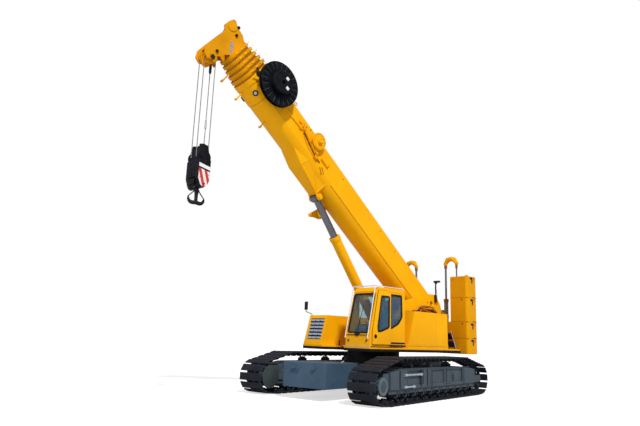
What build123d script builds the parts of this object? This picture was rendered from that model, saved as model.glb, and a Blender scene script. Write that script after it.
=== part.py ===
from build123d import *
import math
import os

# Telescopic crawler crane, millimetres. +X points where the boom points, +Y to the operator's left,
# +Z up. The origin is on the ground on the slewing axis. The tracks stand turned by tracks_turned.

# Tracks
tracks_turned = 9.0
track_length = 7600
track_width_over = 5000
shoe_width = 900
track_height = 1285
end_radius = 500
end_centre_z = 530
ground_half = track_length / 2 - 850
run_flat_front = track_length / 2 - 1490
run_flat_rear = 1750 - track_length / 2
shoe_count = 56
shoe_length = 232
shoe_thickness = 42
shoe_seat = 8
chain_width = 330
chain_height = 120
frame_width = 700
frame_low = 420
frame_high = 975
frame_edge = 880
frame_front = track_length / 2 - 940
frame_flat_front = track_length / 2 - 1650
frame_flat_rear = 1850 - track_length / 2
frame_skirt = 120
skirt_inner = 270
skirt_outer = 300
panel_places = ((940, 1850), (-450, 350), (-1850, -650))
panel_depth = 45
panel_foot = 90
panel_head = 60
roller_radius = 90
roller_half = 220
roller_shaft = 24
roller_shaft_half = 330
roller_count = 10
roller_row = track_length - 2900
hanger_half = 75
carrier_radius = 70
carrier_half = 90
carrier_pitch = 1300
carrier_stand = (100, 150)
carrier_stand_half = 60
carrier_stand_rise = 95
sprocket_radius = 330
sprocket_teeth = 14
sprocket_half = 110
tooth_size = (35, 60)
idler_half = 120
idler_shaft = 90
fork_place = 250
fork_thickness = 70
drive_radius = 255
drive_half = 330
drive_rim = 55
drive_notch = (16, 18)
drive_arm = (200, 300)
weld_sink = 5
running_gap = 0.3
shaft_gap = 0.1

# Carbody and slewing ring
carbody_length = 4200
carbody_width = 1580
carbody_low = 400
carbody_high = 1050
beam_place = 1250
beam_length = 760
beam_low = 500
beam_high = 940
lug_place = 380
lug_half = 45
lug_reach = 70
lug_from_top = (190, 110)
pedestal_radius = 980
ring_radius = 880
ring_bore = 690
ring_low = 1200
ring_high = 1380
ring_well = 500
ballast_length = 1580
ballast_low = 340

# Upper machine
well_half = 195
well_sill = 4
boom_pin_radius = 90
winch_shaft = 60
main_winch_place = (-3560, 2620)
aux_winch_place = (-2450, 1860)
deck_low = 1400
deck_high = 1530
deck_front = 1880
deck_rear = -3000
deck_half = 1500
deck_notch = 1350
cheek_inner = 430
cheek_thickness = 40
cheek_outer = cheek_inner + cheek_thickness
cheek_front = -150
cheek_crown = ((-150, 2000), (-1080, 3150), (-2440, 3500), (-2980, 3500), (-3260, 3150), (-3330, 2960),
               (-3720, 2800), (-3800, 2620), (-3720, 2440), (-3000, 2200))
cheek_boss = 190
cheek_boss_height = 50
ear_plate = (200, 240)
ear_boss = 30
ear_foot = (330, 230)
ear_half = 150
cross_bars = (-2960, -1500)
cab_pad_radius = 60
hood_front = 1880
hood_front_top = 1610
hood_rear = -2700
hood_top = 2510
hood_inner = -cheek_outer - 150
hood_outer = 20 - deck_half
hood_sheet = 12
mouth_sill = 180
mouth_head = 110
mouth_side = 90
louvre_places = (-2300, -1850, -1400, -950)
louvre_length = 300
louvre_low = 2050
louvre_high = 2330
slat_count = 6
slat_depth = (45, 18)
slat_share = 0.28
engine_ends = (-2200, -600)
engine_top = 2250
engine_gap = (150, 120)
locker_front = -20
locker_front_top = -370
locker_rear = -2250
locker_top = 2730
locker_inner = cheek_outer + 170
locker_outer = deck_half - 20
locker_seam = -1560
locker_holes = (-500, -900, -1300)
locker_hole_radius = 22
winch_half = 400
winch_flange = 25
seam_depth = 12
seam_width = 10
seam_foot = 60

# Counterweight: joints between the slabs, from the ground
slab_front = -3060
slab_rear = -3700
slab_outer = 1780
slab_inner = 1070
slab_joints = (1370, 1920, 2510, 3380, 4160)
slab_gap = 0.3
slab_bevel = 12
slab_corner = 90
slab_waist = 120
pocket_ends = (130, 230)
pocket_depth = 30
pocket_from_top = (150, 40)
foot_slot_ends = (60, 300)
foot_slot_depth = 60
foot_slot_height = 22
arm_place = -3330
arm_inner = 700
arm_outer = 1180
arm_top = 4700
arm_crown = 4830
arm_post_top = 3300
arm_post = 75
arm_rod = 38
hanging_rod = 26
arm_hub = 62
arm_hub_half = 60

# Ladder, mast and mirror
ladder_foot = -2880
ladder_top = (-2560, 2120)
ladder_sides = (deck_half - 380, deck_half - 80)
rail_radius = 18
rung_shares = (0.05, 0.52, 0.97)
rung_half = 45
rung_thickness = 24
mast_ends = (-2960, -2880)
mast_foot = (3200, 3480)
mast_top = 3960
mast_bar = 22
mast_head = (3950, 4020)
mast_reach = (25, 230)
mirror_rise = (40, 120, 200)
mirror_reach = 150
mirror_arm = 12
mirror_size = (30, 140, 280)

# Cab
cab_floor = 1560
cab_roof = 3370
cab_width = 1040
cab_outer = deck_half - 10
cab_inner = cab_outer - cab_width
cab_front = 1830
cab_front_top = 1440
cab_rear = 110
cab_wall = 36
cab_door_front = 1560
cab_door_rear = 860
tilt_pin = (60, 1600)
tilt_radius = 16
glass_thickness = 8
door_thickness = 34
skin_gap = 42
post_height = 330
brow_drop = 160
side_window = ((840, 3200), (260, 3200), (230, 2500), (420, 2260), (840, 2080))
door_window = ((930, 2140), (1290, 2020), (1480, 1990), (1500, 2150), (1330, 3120), (930, 3120))
inner_window = ((360, 1250), (2250, 3150))
rear_window = (2450, 3150)
roof_window = (420, 1150)
window_margin = 160
roof_margin = 180
screen_heights = (1960, 3180)
screen_margins = (70, 112)
door_margins = (60, 90)
door_kick = 420
rail_height = 20
seat_offset = 40
seat_half = 250
seat_height = 2030
seat_top = 2720
arm_rest = (290, 90)
rail_bar = 16
rail_low = 1800
rail_rise = 45
rail_lean = 95

# Boom, in its own frame: s along the boom from the foot pin, n across it, upwards
boom_angle = 37.8
boom_pin = (-2740, 2880)
boom_half = 420
boom_top = 390
boom_low = -660
boom_belly = 290
boom_front = 10800
boom_wall = 10
section_step = 24
section_pitch = 165
section_count = 5
section_rear = 700
section_rear_step = 250
collar_length = 100
collar_height = 42
base_collar = (180, 22)
guide_rise = 210
foot_line = ((-250, -190), (-190, 250), (120, 390), (500, 390), (500, -470), (120, -330))
foot_wall = 60
base_stubs = ((boom_front - 1330, -930), (boom_front - 230, -1020))
section_stub = (3, boom_front + 430, -1030)
stub_bar = 22
stub_roller = 34
jib_boss = (7885, 225)
boss_rings = ((120, 240), (150, 280), (210, 100))
side_box = ((7050, 7400), (-60, 120), 60)
rope_eyes = (boom_front - 1900, boom_front - 1650)
top_guides = (3000, 6000)

# Saddle under the boom: half width and n at its rear end, its shoulder, its knee and its nose
eye_place = (6500, -840)
saddle_rear = 6660
saddle_line = ((saddle_rear, 170, -850), (7650, 424, -300), (7780, 290, -740), (8330, 290, -560))
saddle_plate = 20
saddle_rim = (1.05, 0.98)
saddle_flange = 25
lug_line = ((6660, -560), (6420, -780), (6390, -850), (6425, -925), (6500, -950), (6570, -930), (6720, -840),
            (6900, -800), (6900, -560))
lug_plate = (145, 185)
lug_boss = 105
pin_end = 20

# Boom head: its outlines are measured from the front of the last section
head_start = boom_front + section_count * section_pitch
head_half = 250
head_plate = 30
head_foot = (-440, 330)
head_nose = ((35, -420), (130, -625), (-13, -740), (13, -790), (170, -755), (242, -850), (150, -955),
             (155, -1045), (252, -1040), (380, -1150), (550, -1110), (650, -905), (648, -635), (637, -220),
             (630, -20))
head_ear = ((765, 105), (763, 335), (710, 545), (635, 570), (455, 480), (205, 455))
head_plain = ((615, 290), (455, 380), (205, 420))
head_webs = ((5, 590, -180, -150), (565, 590, -760, -150), (1, 455, 300, 325))
jib_bore = 45
jib_pin = (head_start + 347, -735)
jib_ring = 70
sheave_radius = 170
sheave_shaft = 60
sheave_half = 23
sheave_place = (head_start + 305, -980)
guide_place = (head_start + 595, 330)
guide_radius = 140
guide_cover = 165

# Cable reel
reel_place = (boom_front - 670, 80)
reel_radius = 700
reel_off = 230
reel_thickness = 120
reel_hub = 210
reel_ribs = 20
spindle_radius = 45
spindle_cap = 75
arm_line = ((-60, -60), (60, -60), (640, -480), (660, -380), (80, 70), (-60, 70))

# Luffing cylinder
cylinder_foot = (-353, 1970)
barrel_radius = 170
barrel_length = 3840
rod_radius = 118
rod_eye = 140
rod_eye_half = 130
foot_eye = 150
foot_bore = 80
eye_pin_radius = 75

# Hook
rope_radius = 12
rope_spacing = 130
block_top = 6810
block_axle = 6440
block_low = 5600
block_half = 180
block_side = 200
weight_side = 330
hook_tip = 5135
horn_radius = 112
horn_bar = 42
horn_bend = 205
shank_radius = 52
nut_radius = 95
latch_bar = 9


def block(x, y, z):
    """A box between the low and high value of each pair."""
    return Pos(sum(x) / 2, sum(y) / 2, sum(z) / 2) * Box(x[1] - x[0], y[1] - y[0], z[1] - z[0])


def plate(points, y):
    """A plate with its outline in X and Z, between the two values of y."""
    edge = Polyline(*[(px, y[0], pz) for px, pz in points], close=True)
    return extrude(make_face(edge), amount=y[1] - y[0], dir=(0, 1, 0))


def plan(points, z):
    """A plate with its outline in X and Y, between the two values of z."""
    edge = Polyline(*[(px, py, z[0]) for px, py in points], close=True)
    return extrude(make_face(edge), amount=z[1] - z[0], dir=(0, 0, 1))


def drum(place, y, radius):
    """A round solid along Y at a place in X and Z."""
    return Solid.make_cylinder(radius, y[1] - y[0], Plane((place[0], y[0], place[1]), z_dir=(0, 1, 0)))


def bar(start, end, radius):
    """A round bar from one point to another."""
    along = Vector(*end) - Vector(*start)
    return Solid.make_cylinder(radius, along.length, Plane(start, z_dir=along))


def both_sides(shape):
    return [shape, mirror(shape, about=Plane.XZ)]


def joined(shapes):
    first, *others = shapes
    return first.fuse(*others) if others else first


def on_boom(shape):
    """Places a shape that is drawn along the boom."""
    turn = math.radians(boom_angle)
    along = Vector(math.cos(turn), 0, math.sin(turn))
    across = Vector(-math.sin(turn), 0, math.cos(turn))
    return Plane((boom_pin[0], 0, boom_pin[1]), x_dir=along, z_dir=across).location * shape


def boom_point(place):
    """The X and Z of a place on the boom."""
    turn = math.radians(boom_angle)
    s, n = place
    return (boom_pin[0] + s * math.cos(turn) - n * math.sin(turn),
            boom_pin[1] + s * math.sin(turn) + n * math.cos(turn))


def save(name, shapes, turned=0.0):
    whole = shapes if isinstance(shapes, list) else [shapes]
    solids = [solid for shape in whole for solid in shape.solids()]
    if turned:
        solids = [Rot(Z=turned) * solid for solid in solids]
    export_step(solids[0] if len(solids) == 1 else Compound(solids), f"parts/{name}.step")


# Tracks: the line of the shoes' outer faces
def touch(centre, radius, point, turn):
    """Where the line from a point touches a circle. The turn of 1 or -1 picks one of the two places."""
    dx, dz = point[0] - centre[0], point[1] - centre[1]
    angle = math.atan2(dz, dx) + turn * math.acos(radius / math.hypot(dx, dz))
    return centre[0] + radius * math.cos(angle), centre[1] + radius * math.sin(angle)


def track_line():
    end_x = track_length / 2 - end_radius
    front, rear = (end_x, end_centre_z), (-end_x, end_centre_z)
    crown = [(run_flat_front, track_height), (run_flat_rear, track_height)]
    ground = [(-ground_half, 0), (ground_half, 0)]
    points = [touch(front, end_radius, ground[1], 1), (end_x + end_radius, end_centre_z),
              touch(front, end_radius, crown[0], -1), *crown, touch(rear, end_radius, crown[1], 1),
              (-end_x - end_radius, end_centre_z), touch(rear, end_radius, ground[0], -1), *ground]
    at = [(x, 0, z) for x, z in points]
    pieces = [ThreePointArc(at[0], at[1], at[2]), Line(at[2], at[3]), Line(at[3], at[4]), Line(at[4], at[5]),
              ThreePointArc(at[5], at[6], at[7]), Line(at[7], at[8]), Line(at[8], at[9]), Line(at[9], at[0])]
    return Wire([piece.edge() for piece in pieces])


def track(side):
    """One closed chain with a flat shoe on every link."""
    line = track_line()
    middle = side * (track_width_over - shoe_width) / 2
    outer = Face(line.offset_2d(-shoe_thickness + shoe_seat))
    inner = Face(line.offset_2d(-shoe_thickness - chain_height))
    chain = extrude(outer - inner, amount=chain_width / 2, dir=(0, 1, 0), both=True)
    shoes = []
    for index in range(shoe_count):
        share = (index + 0.5) / shoe_count
        place, along = line.position_at(share), line.tangent_at(share)
        inward = along.cross(Vector(0, 1, 0))
        if inward.dot(Vector(0, 0, end_centre_z) - place) < 0:
            inward = -inward
        seat = Plane(place + inward * (shoe_thickness / 2), x_dir=along, z_dir=inward)
        shoes.append(seat.location * Box(shoe_length, shoe_width, shoe_thickness))
    return Pos(0, middle, 0) * joined([chain] + shoes)


def frame_middle(side):
    return side * (track_width_over - shoe_width) / 2


def track_frame(side):
    """The side frame inside a track, with ribs, a recessed panel and the skirts that carry the rollers."""
    half = frame_width / 2
    outline = [(-frame_front, frame_low), (frame_front, frame_low), (frame_front, frame_edge),
               (frame_flat_front, frame_high), (frame_flat_rear, frame_high), (-frame_front, frame_edge)]
    body = plate(outline, (-half, half))
    for ends in panel_places:
        panel = block(ends, (half - panel_depth, half + 1), (frame_low + panel_foot, frame_high - panel_head))
        for recess in both_sides(panel):
            body -= recess
    skirt_foot = frame_low - frame_skirt
    skirts = block((-frame_front, frame_front), (skirt_inner, skirt_outer),
                   (skirt_foot, frame_low + weld_sink))
    for index in range(roller_count):
        x = roller_x(index)
        skirts += block((x - hanger_half, x + hanger_half), (skirt_inner, skirt_outer),
                        (roller_z() - roller_shaft - weld_sink * 3, skirt_foot + weld_sink))
    for place in carrier_places():
        skirts += block((place - carrier_stand_half, place + carrier_stand_half), carrier_stand,
                        (frame_high - weld_sink, frame_high + carrier_stand_rise))
    body = joined([body] + both_sides(skirts))
    for index in range(roller_count):
        body -= drum((roller_x(index), roller_z()), (-half, half), roller_shaft + shaft_gap)
    for place in carrier_places():
        body -= drum((place, carrier_z()), (-half, half), roller_shaft + shaft_gap)
    return Pos(0, frame_middle(side), 0) * body


def chain_inside():
    return shoe_thickness + chain_height


def roller_z():
    return chain_inside() + roller_radius + running_gap


def roller_x(index):
    return (index / (roller_count - 1) - 0.5) * roller_row


def carrier_places():
    return [-carrier_pitch, 0, carrier_pitch]


def carrier_z():
    return track_height - shoe_thickness - chain_height - carrier_radius - running_gap


def running_wheels(side):
    """Rollers under the frame and carrier rollers on top of it."""
    wheels = []
    for index in range(roller_count):
        place = (roller_x(index), roller_z())
        wheel = drum(place, (-roller_half, roller_half), roller_radius)
        wheels.append(wheel.fuse(drum(place, (-roller_shaft_half, roller_shaft_half), roller_shaft)))
    stand_face = carrier_stand[1]
    for x in carrier_places():
        place = (x, carrier_z())
        wheel = drum(place, (-carrier_half, carrier_half), carrier_radius)
        wheels.append(wheel.fuse(drum(place, (-stand_face, stand_face), roller_shaft)))
    return [Pos(0, frame_middle(side), 0) * wheel for wheel in wheels]


def idler(side):
    """The idler at the rear, on its fork."""
    x = track_length / 2 - end_radius
    place = (-x, end_centre_z)
    wheel = drum(place, (-idler_half, idler_half), sprocket_radius)
    shaft = drum(place, (-fork_place, fork_place), idler_shaft)
    prong = block((-x - idler_shaft - 60, -frame_front - running_gap),
                  (fork_place, fork_place + fork_thickness),
                  (end_centre_z - idler_shaft - 10, end_centre_z + idler_shaft + 40))
    return Pos(0, frame_middle(side), 0) * joined([wheel, shaft] + both_sides(prong))


def final_drive(side):
    """The driven sprocket with its gearbox and the toothed rim cover outside."""
    x = track_length / 2 - end_radius
    place = (x, end_centre_z)
    tooth_half, tooth_side = tooth_size
    notch_half, notch_depth = drive_notch
    outside = drive_half + drive_rim
    sprocket = drum(place, (-sprocket_half, sprocket_half), sprocket_radius - 25)
    rim = drum(place, (drive_half, outside), drive_radius)
    for index in range(sprocket_teeth):
        turn = 360 * index / sprocket_teeth
        tooth = block((-tooth_half, tooth_half), (-tooth_side, tooth_side),
                      (sprocket_radius - tooth_side, sprocket_radius))
        sprocket += Pos(x, 0, end_centre_z) * Rot(Y=turn) * tooth
        notch = block((-notch_half, notch_half), (drive_half - weld_sink, outside + weld_sink),
                      (drive_radius - notch_depth, drive_radius + 10))
        rim -= Pos(x, 0, end_centre_z) * Rot(Y=turn + 180 / sprocket_teeth) * notch
    case = drum(place, (-drive_half, drive_half), drive_radius - 45)
    inner = drum(place, (-outside, -drive_half), drive_radius)
    arm = block((frame_front + running_gap, x - 120), drive_arm, (frame_low + 20, frame_edge - 20))
    whole = joined([sprocket, case, rim, inner] + both_sides(arm))
    if side < 0:
        whole = mirror(whole, about=Plane.XZ)
    return Pos(0, frame_middle(side), 0) * whole


def carbody():
    """The central box, its two cross beams and the pedestal under the slewing ring."""
    half = carbody_width / 2
    frame_inside = (track_width_over - shoe_width) / 2 - frame_width / 2
    body = block((-carbody_length / 2, carbody_length / 2), (-half, half), (carbody_low, carbody_high))
    for place in (-beam_place, beam_place):
        body += block((place - beam_length / 2, place + beam_length / 2),
                      (-frame_inside + running_gap, frame_inside - running_gap), (beam_low, beam_high))
    body += Pos(0, 0, (carbody_high + ring_low) / 2) * Cylinder(pedestal_radius, ring_low - carbody_high)
    well = ring_low - ring_well
    return body - Pos(0, 0, (ring_low + well) / 2) * Cylinder(ring_bore, ring_low - well)


def slewing_ring():
    high = ring_high - running_gap
    ring = Pos(0, 0, (ring_low + high) / 2) * (Cylinder(ring_radius, high - ring_low)
                                               - Cylinder(ring_bore, high - ring_low))
    return ring


def carbody_ballast(end):
    """A weight hung on one end of the central box, with two lifting lugs."""
    half = carbody_width / 2
    near = carbody_length / 2 + running_gap
    far = near + ballast_length
    lug_low, lug_high = (carbody_high - drop for drop in lug_from_top)
    body = block((near, far), (-half, half), (ballast_low, carbody_high))
    lug = block((far - weld_sink, far + lug_reach), (lug_place - lug_half, lug_place + lug_half),
                (lug_low, lug_high))
    body = joined([body] + both_sides(lug))
    return body if end > 0 else mirror(body, about=Plane.YZ)


# Upper machine
def deck():
    """The platform over the ring, with the cheek plates that carry the boom's foot pin and both winches."""
    body = deck_plate()
    cheek = plate([(deck_rear, deck_low), (cheek_front, deck_low), *cheek_crown], (cheek_inner, cheek_outer))
    cheek += drum(boom_pin, (cheek_inner - weld_sink, cheek_outer + cheek_boss_height), cheek_boss)
    shafts = ((boom_pin, boom_pin_radius), (main_winch_place, winch_shaft), (aux_winch_place, winch_shaft))
    for place, radius in shafts:
        cheek -= drum(place, (0, cheek_outer + cheek_boss_height + 10), radius + shaft_gap)
    body = joined([body] + both_sides(cheek))
    for y in tilt_lugs():
        body += tilt_lug(y)
        pad_low, pad_high = deck_high - 4, cab_floor - running_gap
        pad = Cylinder(cab_pad_radius, pad_high - pad_low)
        body += Pos(cab_front - 220, y, (pad_low + pad_high) / 2) * pad
    for x in cross_bars:
        body += block((x - 20, x + 20), (-cheek_inner - weld_sink, cheek_inner + weld_sink),
                      (deck_high - weld_sink, deck_high + 90))
    carrier = block((slab_front, deck_rear + weld_sink), (-slab_inner, slab_inner),
                    (deck_low, deck_high + 200))
    slot = block((slab_front - 5, deck_rear + weld_sink), (cheek_inner - 3, cheek_outer + 3),
                 (deck_low - 5, deck_high + 270))
    for place in both_sides(slot):
        carrier -= place
    return joined([body] + both_sides(cylinder_ear()) + [carrier])


def deck_plate():
    """The platform itself, with the notch between cab and hood and the well for the luffing cylinder."""
    left, right = cab_inner - 20, hood_inner + 60
    outline = [(deck_front, left), (deck_front, deck_half), (deck_rear, deck_half), (deck_rear, -deck_half),
               (deck_front, -deck_half), (deck_front, right), (deck_notch, -cheek_inner), (deck_notch, left)]
    body = plan(outline, (deck_low, deck_high))
    body += Pos(0, 0, (ring_high + deck_low) / 2) * Cylinder(ring_radius, deck_low - ring_high)
    body -= Pos(0, 0, (ring_high + deck_high) / 2) * Cylinder(well_half, deck_high - ring_high + 20)
    body -= block((-ring_bore, deck_front), (-well_half, well_half), (ring_high - 5, deck_high + 5))
    return body + block((ring_bore, ring_radius - 60), (-well_half - weld_sink, well_half + weld_sink),
                        (ring_high, ring_high + well_sill))


def tilt_lugs():
    return cab_inner + 120, cab_outer - 220


def tilt_lug(y):
    """One eye under the cab's rear edge for its tilting pin."""
    pin_x, pin_z = tilt_pin
    lug = block((pin_x - 30, pin_x + 30), (y, y + 40), (deck_high - weld_sink, pin_z))
    lug += drum(tilt_pin, (y, y + 40), 30)
    return lug - drum(tilt_pin, (y - 5, y + 45), tilt_radius + shaft_gap)


def cylinder_ear():
    """The left one of the two plates that hold the luffing cylinder's foot."""
    x, z = cylinder_foot
    near, far = ear_plate
    rear, front = ear_foot
    foot = deck_high - weld_sink
    shoulder = z + 60
    outline = [(x - rear, foot), (x + front, foot), (x + ear_half, shoulder), (x + 60, z + ear_half),
               (x - 60, z + ear_half), (x - ear_half, shoulder)]
    return plate(outline, (near, far)) + drum(cylinder_foot, (far - weld_sink, far + ear_boss), 95)


def hood():
    """The engine housing on the right, open at the front behind its grille."""
    sheet = hood_sheet
    low = deck_high + running_gap
    outline = [(hood_front, low), (hood_front_top, hood_top), (hood_rear, hood_top), (hood_rear, low)]
    inside = [(hood_front - sheet * 1.4, low + sheet), (hood_front_top - sheet, hood_top - sheet),
              (hood_rear + sheet, hood_top - sheet), (hood_rear + sheet, low + sheet)]
    body = plate(outline, (hood_outer, hood_inner)) - plate(inside, (hood_outer + sheet, hood_inner - sheet))
    sill, head = mouth_heights()
    reach = 60
    mouth = [(hood_face(sill) - reach, sill), (hood_face(sill) + reach, sill),
             (hood_face(head) + reach, head), (hood_face(head) - reach, head)]
    body -= plate(mouth, (hood_outer + mouth_side, hood_inner - mouth_side))
    for x in louvre_places:
        body -= block((x, x + louvre_length), (hood_outer - 10, hood_outer + sheet + 1),
                      (louvre_low, louvre_high))
    return body


def mouth_heights():
    return deck_high + mouth_sill, hood_top - mouth_head


def hood_face(z):
    """The X of the hood's leaning front at a height."""
    lean = (hood_front - hood_front_top) / (hood_top - deck_high)
    return hood_front - lean * (z - deck_high)


def hood_grille():
    """Bright slats across the mouth of the housing."""
    low, high = mouth_heights()
    far, near = slat_depth
    pitch = (high - low) / slat_count
    y = (hood_outer + mouth_side + running_gap, hood_inner - mouth_side - running_gap)
    slats = []
    for index in range(slat_count):
        z = low + pitch * (index + 0.5)
        x = hood_face(z)
        slats.append(block((x - far, x - near), y, (z - pitch * slat_share, z + pitch * slat_share)))
    return slats


def engine():
    floor = deck_high + running_gap + hood_sheet
    outer, inner = engine_gap
    return block(engine_ends, (hood_outer + outer, hood_inner - inner), (floor, engine_top))


def locker():
    """The tank and locker body behind the cab, with the seams of its side cover and three drain holes."""
    low = deck_high + running_gap
    outline = [(locker_front, low), (locker_front_top, locker_top), (locker_rear, locker_top),
               (locker_rear, low)]
    body = plate(outline, (locker_inner, locker_outer))
    near, far = locker_outer - seam_depth, locker_outer + 5
    foot = deck_high + seam_foot
    body -= block((locker_seam - seam_width / 2, locker_seam + seam_width / 2), (near, far),
                  (foot, locker_top + 5))
    body -= block((locker_rear - 5, locker_front + 20), (near, far), (foot, foot + seam_width))
    for x in locker_holes:
        body -= drum((x, foot + 50), (near, far), locker_hole_radius)
    return body


def slab(index):
    """One slab of the left stack, with its lifting pocket and lug."""
    low, high = slab_joints[index], slab_joints[index + 1] - slab_gap
    inner = slab_inner - (slab_waist if index == 1 else 0)
    body = block((slab_rear, slab_front), (inner, slab_outer), (low, high))
    body = fillet(body.edges().filter_by(Axis.Z).group_by(Axis.Y)[-1], slab_corner)
    body = chamfer(body.faces().sort_by(Axis.Z)[-1].edges(), slab_bevel)
    pocket = [slab_rear + place for place in pocket_ends]
    pocket_low, pocket_high = (high - drop for drop in pocket_from_top)
    body -= block(pocket, (slab_outer - pocket_depth, slab_outer + 10), (pocket_low, pocket_high))
    if index > 0:
        foot = [slab_rear + place for place in foot_slot_ends]
        body -= block(foot, (slab_outer - foot_slot_depth, slab_outer + 10), (low - 5, low + foot_slot_height))
    return body


def counterweight_base():
    """The lowest layer runs across the machine under both stacks."""
    low, high = slab_joints[0], slab_joints[1] - slab_gap
    middle = block((slab_rear, slab_front), (-slab_inner - 10, slab_inner + 10), (low, high))
    body = joined([middle] + both_sides(slab(0)))
    return body


def ballast_arms():
    """The posts that lift the counterweight, each with its arch and hanging rod."""
    x, inner, outer, top = arm_place, arm_inner, arm_outer, arm_top
    post = bar((x, inner, slab_joints[1] - slab_gap), (x, inner, arm_post_top), arm_post)
    post = post.fuse(bar((x, inner, arm_post_top), (x, inner, top), arm_rod))
    hubs = [bar((x, y, top - arm_hub_half), (x, y, top + arm_hub_half - 20), arm_hub) for y in (inner, outer)]
    foot, brow, crown = top - 20, arm_crown - 30, arm_crown + 90
    line = [(inner - 70, foot), (inner + 60, crown), (outer - 60, crown), (outer + 70, foot),
            (outer - 30, foot), (outer - 110, brow), (inner + 110, brow), (inner + 30, foot)]
    rear = x - arm_hub_half
    edge = Polyline(*[(rear, y, z) for y, z in line], close=True)
    arch = extrude(make_face(edge), amount=2 * arm_hub_half, dir=(1, 0, 0))
    rod = bar((x, outer, slab_joints[-1] - slab_gap), (x, outer, top), hanging_rod)
    return both_sides(joined([post, arch, rod] + hubs))


def ladder():
    """Two steps up to the deck beside the counterweight."""
    foot = deck_high + rung_thickness / 2 - 3
    top_x, top_z = ladder_top
    rails = [bar((ladder_foot, y, foot), (top_x, y, top_z), rail_radius) for y in ladder_sides]
    rungs = []
    for share in rung_shares:
        x = ladder_foot + (top_x - ladder_foot) * share
        z = foot + (top_z - foot) * share
        rungs.append(block((x - rung_half, x + rung_half), ladder_sides,
                           (z - rung_thickness / 2, z + rung_thickness / 2)))
    return joined(rails + rungs)


def rear_mast():
    """The short mast beside the left cheek plate."""
    rear, front = mast_ends
    x, y = (rear + front) / 2, cheek_outer + 40
    reach_in, reach_out = mast_reach
    foot = block(mast_ends, (cheek_outer + running_gap, cheek_outer + 60), mast_foot)
    post = bar((x, y, mast_foot[1] - 80), (x, y, mast_top), mast_bar)
    head = block(mast_ends, (cheek_outer - reach_in, cheek_outer + reach_out), mast_head)
    return joined([foot, post, head])


def winch(place, flange, core, half):
    """A rope drum between its flanges, on its shaft."""
    body = drum(place, (-half, half), core)
    for y in (-half, half - winch_flange):
        body += drum(place, (y, y + winch_flange), flange)
    return body + drum(place, (-cheek_outer, cheek_outer), winch_shaft)


# Cab
def cab_outline(inset, low=0.0):
    """The cab's side outline, drawn in by a distance."""
    lean = (cab_front - cab_front_top) / (cab_roof - cab_floor)
    return [(cab_front - inset * 1.02, cab_floor + low), (cab_front - 20 - inset, cab_floor + post_height),
            (cab_front_top + 40 - inset + lean * 30, cab_roof - brow_drop),
            (cab_front_top - 60 - inset, cab_roof - inset),
            (cab_rear + inset, cab_roof - inset), (cab_rear + inset, cab_floor + low)]


def door_outline(inset):
    foot, head = door_margins
    low, high = cab_floor + foot + inset, cab_roof - head - inset
    return [(cab_door_rear + inset, low), (cab_door_front + 140 - inset, low),
            (cab_door_front + 140 - inset, cab_floor + door_kick), (cab_door_front - 130 - inset, high),
            (cab_door_rear + inset, high)]


def cab_shell():
    """The cab's welded shell with its openings and the two rails that the door slides on."""
    skin = cab_outer - skin_gap
    body = plate(cab_outline(0), (cab_inner, skin))
    body -= plate(cab_outline(cab_wall, cab_wall), (cab_inner + cab_wall, skin - cab_wall))
    side_cut = (skin - cab_wall - 5, skin + 5)
    ends, heights = inner_window
    body -= plate(door_outline(25), side_cut)
    body -= plate(side_window, side_cut)
    body -= block(ends, (cab_inner - 5, cab_inner + cab_wall + 5), heights)
    body -= block((cab_rear - 5, cab_rear + cab_wall + 5), window_span(window_margin), rear_window)
    body -= block(roof_window, window_span(roof_margin), (cab_roof - cab_wall - 5, cab_roof + 5))
    body -= front_opening(0)
    rail = (skin - 5, cab_outer - door_thickness - running_gap)
    foot, head = door_margins
    low, high = cab_floor + foot + 2, cab_roof - head - 2
    body += block((cab_rear + 60, cab_door_front + 100), rail, (low, low + rail_height))
    body += block((cab_rear + 60, cab_door_front - 150), rail, (high - rail_height, high))
    return joined([body] + [tilt_hinge(y) for y in tilt_lugs()])


def window_span(margin):
    """Both ends in Y of a window that lies within the cab's two side walls."""
    return cab_inner + margin, cab_outer - skin_gap - margin


def tilt_hinge(y):
    """The pin and the two plates that hold it, on the cab's rear wall."""
    pin_x, pin_z = tilt_pin
    hinge = drum(tilt_pin, (y - 45, y + 85), tilt_radius)
    for face in (y - 40, y + 45):
        hinge += block((pin_x, cab_rear + weld_sink), (face, face + 35), (pin_z - 30, pin_z + 30))
        hinge += drum(tilt_pin, (face, face + 35), 30)
    return hinge


def front_opening(inset):
    """The windscreen's opening, cut along X."""
    low, high = screen_heights
    inner, outer = screen_margins
    return block((cab_front_top - 130, cab_front + 50), (cab_inner + inner + inset, cab_outer - outer - inset),
                 (low + inset, high - inset))


def cab_glass():
    """Windscreen, side, rear and roof panes."""
    skin = cab_outer - skin_gap
    foot_x, brow_x = cab_front - 24, cab_front_top + 36
    foot, brow = cab_floor + post_height, cab_roof - brow_drop
    lean = plate([(foot_x, foot), (brow_x, brow), (brow_x - glass_thickness, brow),
                  (foot_x - glass_thickness, foot)], (cab_inner, skin))
    ends, heights = inner_window
    inner_face, rear_face, roof_face = cab_inner + 14, cab_rear + 14, cab_roof - 24
    side = plate(side_window, (skin - 20, skin - 20 + glass_thickness))
    inner = block(ends, (inner_face, inner_face + glass_thickness), heights)
    rear = block((rear_face, rear_face + glass_thickness), window_span(window_margin), rear_window)
    roof = block(roof_window, window_span(roof_margin), (roof_face, roof_face + glass_thickness))
    return [lean & front_opening(running_gap), side, inner, rear, roof]


def cab_door():
    """The sliding door, outside the shell's side."""
    door = plate(door_outline(0), (cab_outer - door_thickness, cab_outer))
    return door - plate(door_window, (cab_outer - 60, cab_outer + 10))


def door_glass():
    return plate(door_window, (cab_outer - 22, cab_outer - 22 + glass_thickness))


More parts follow.
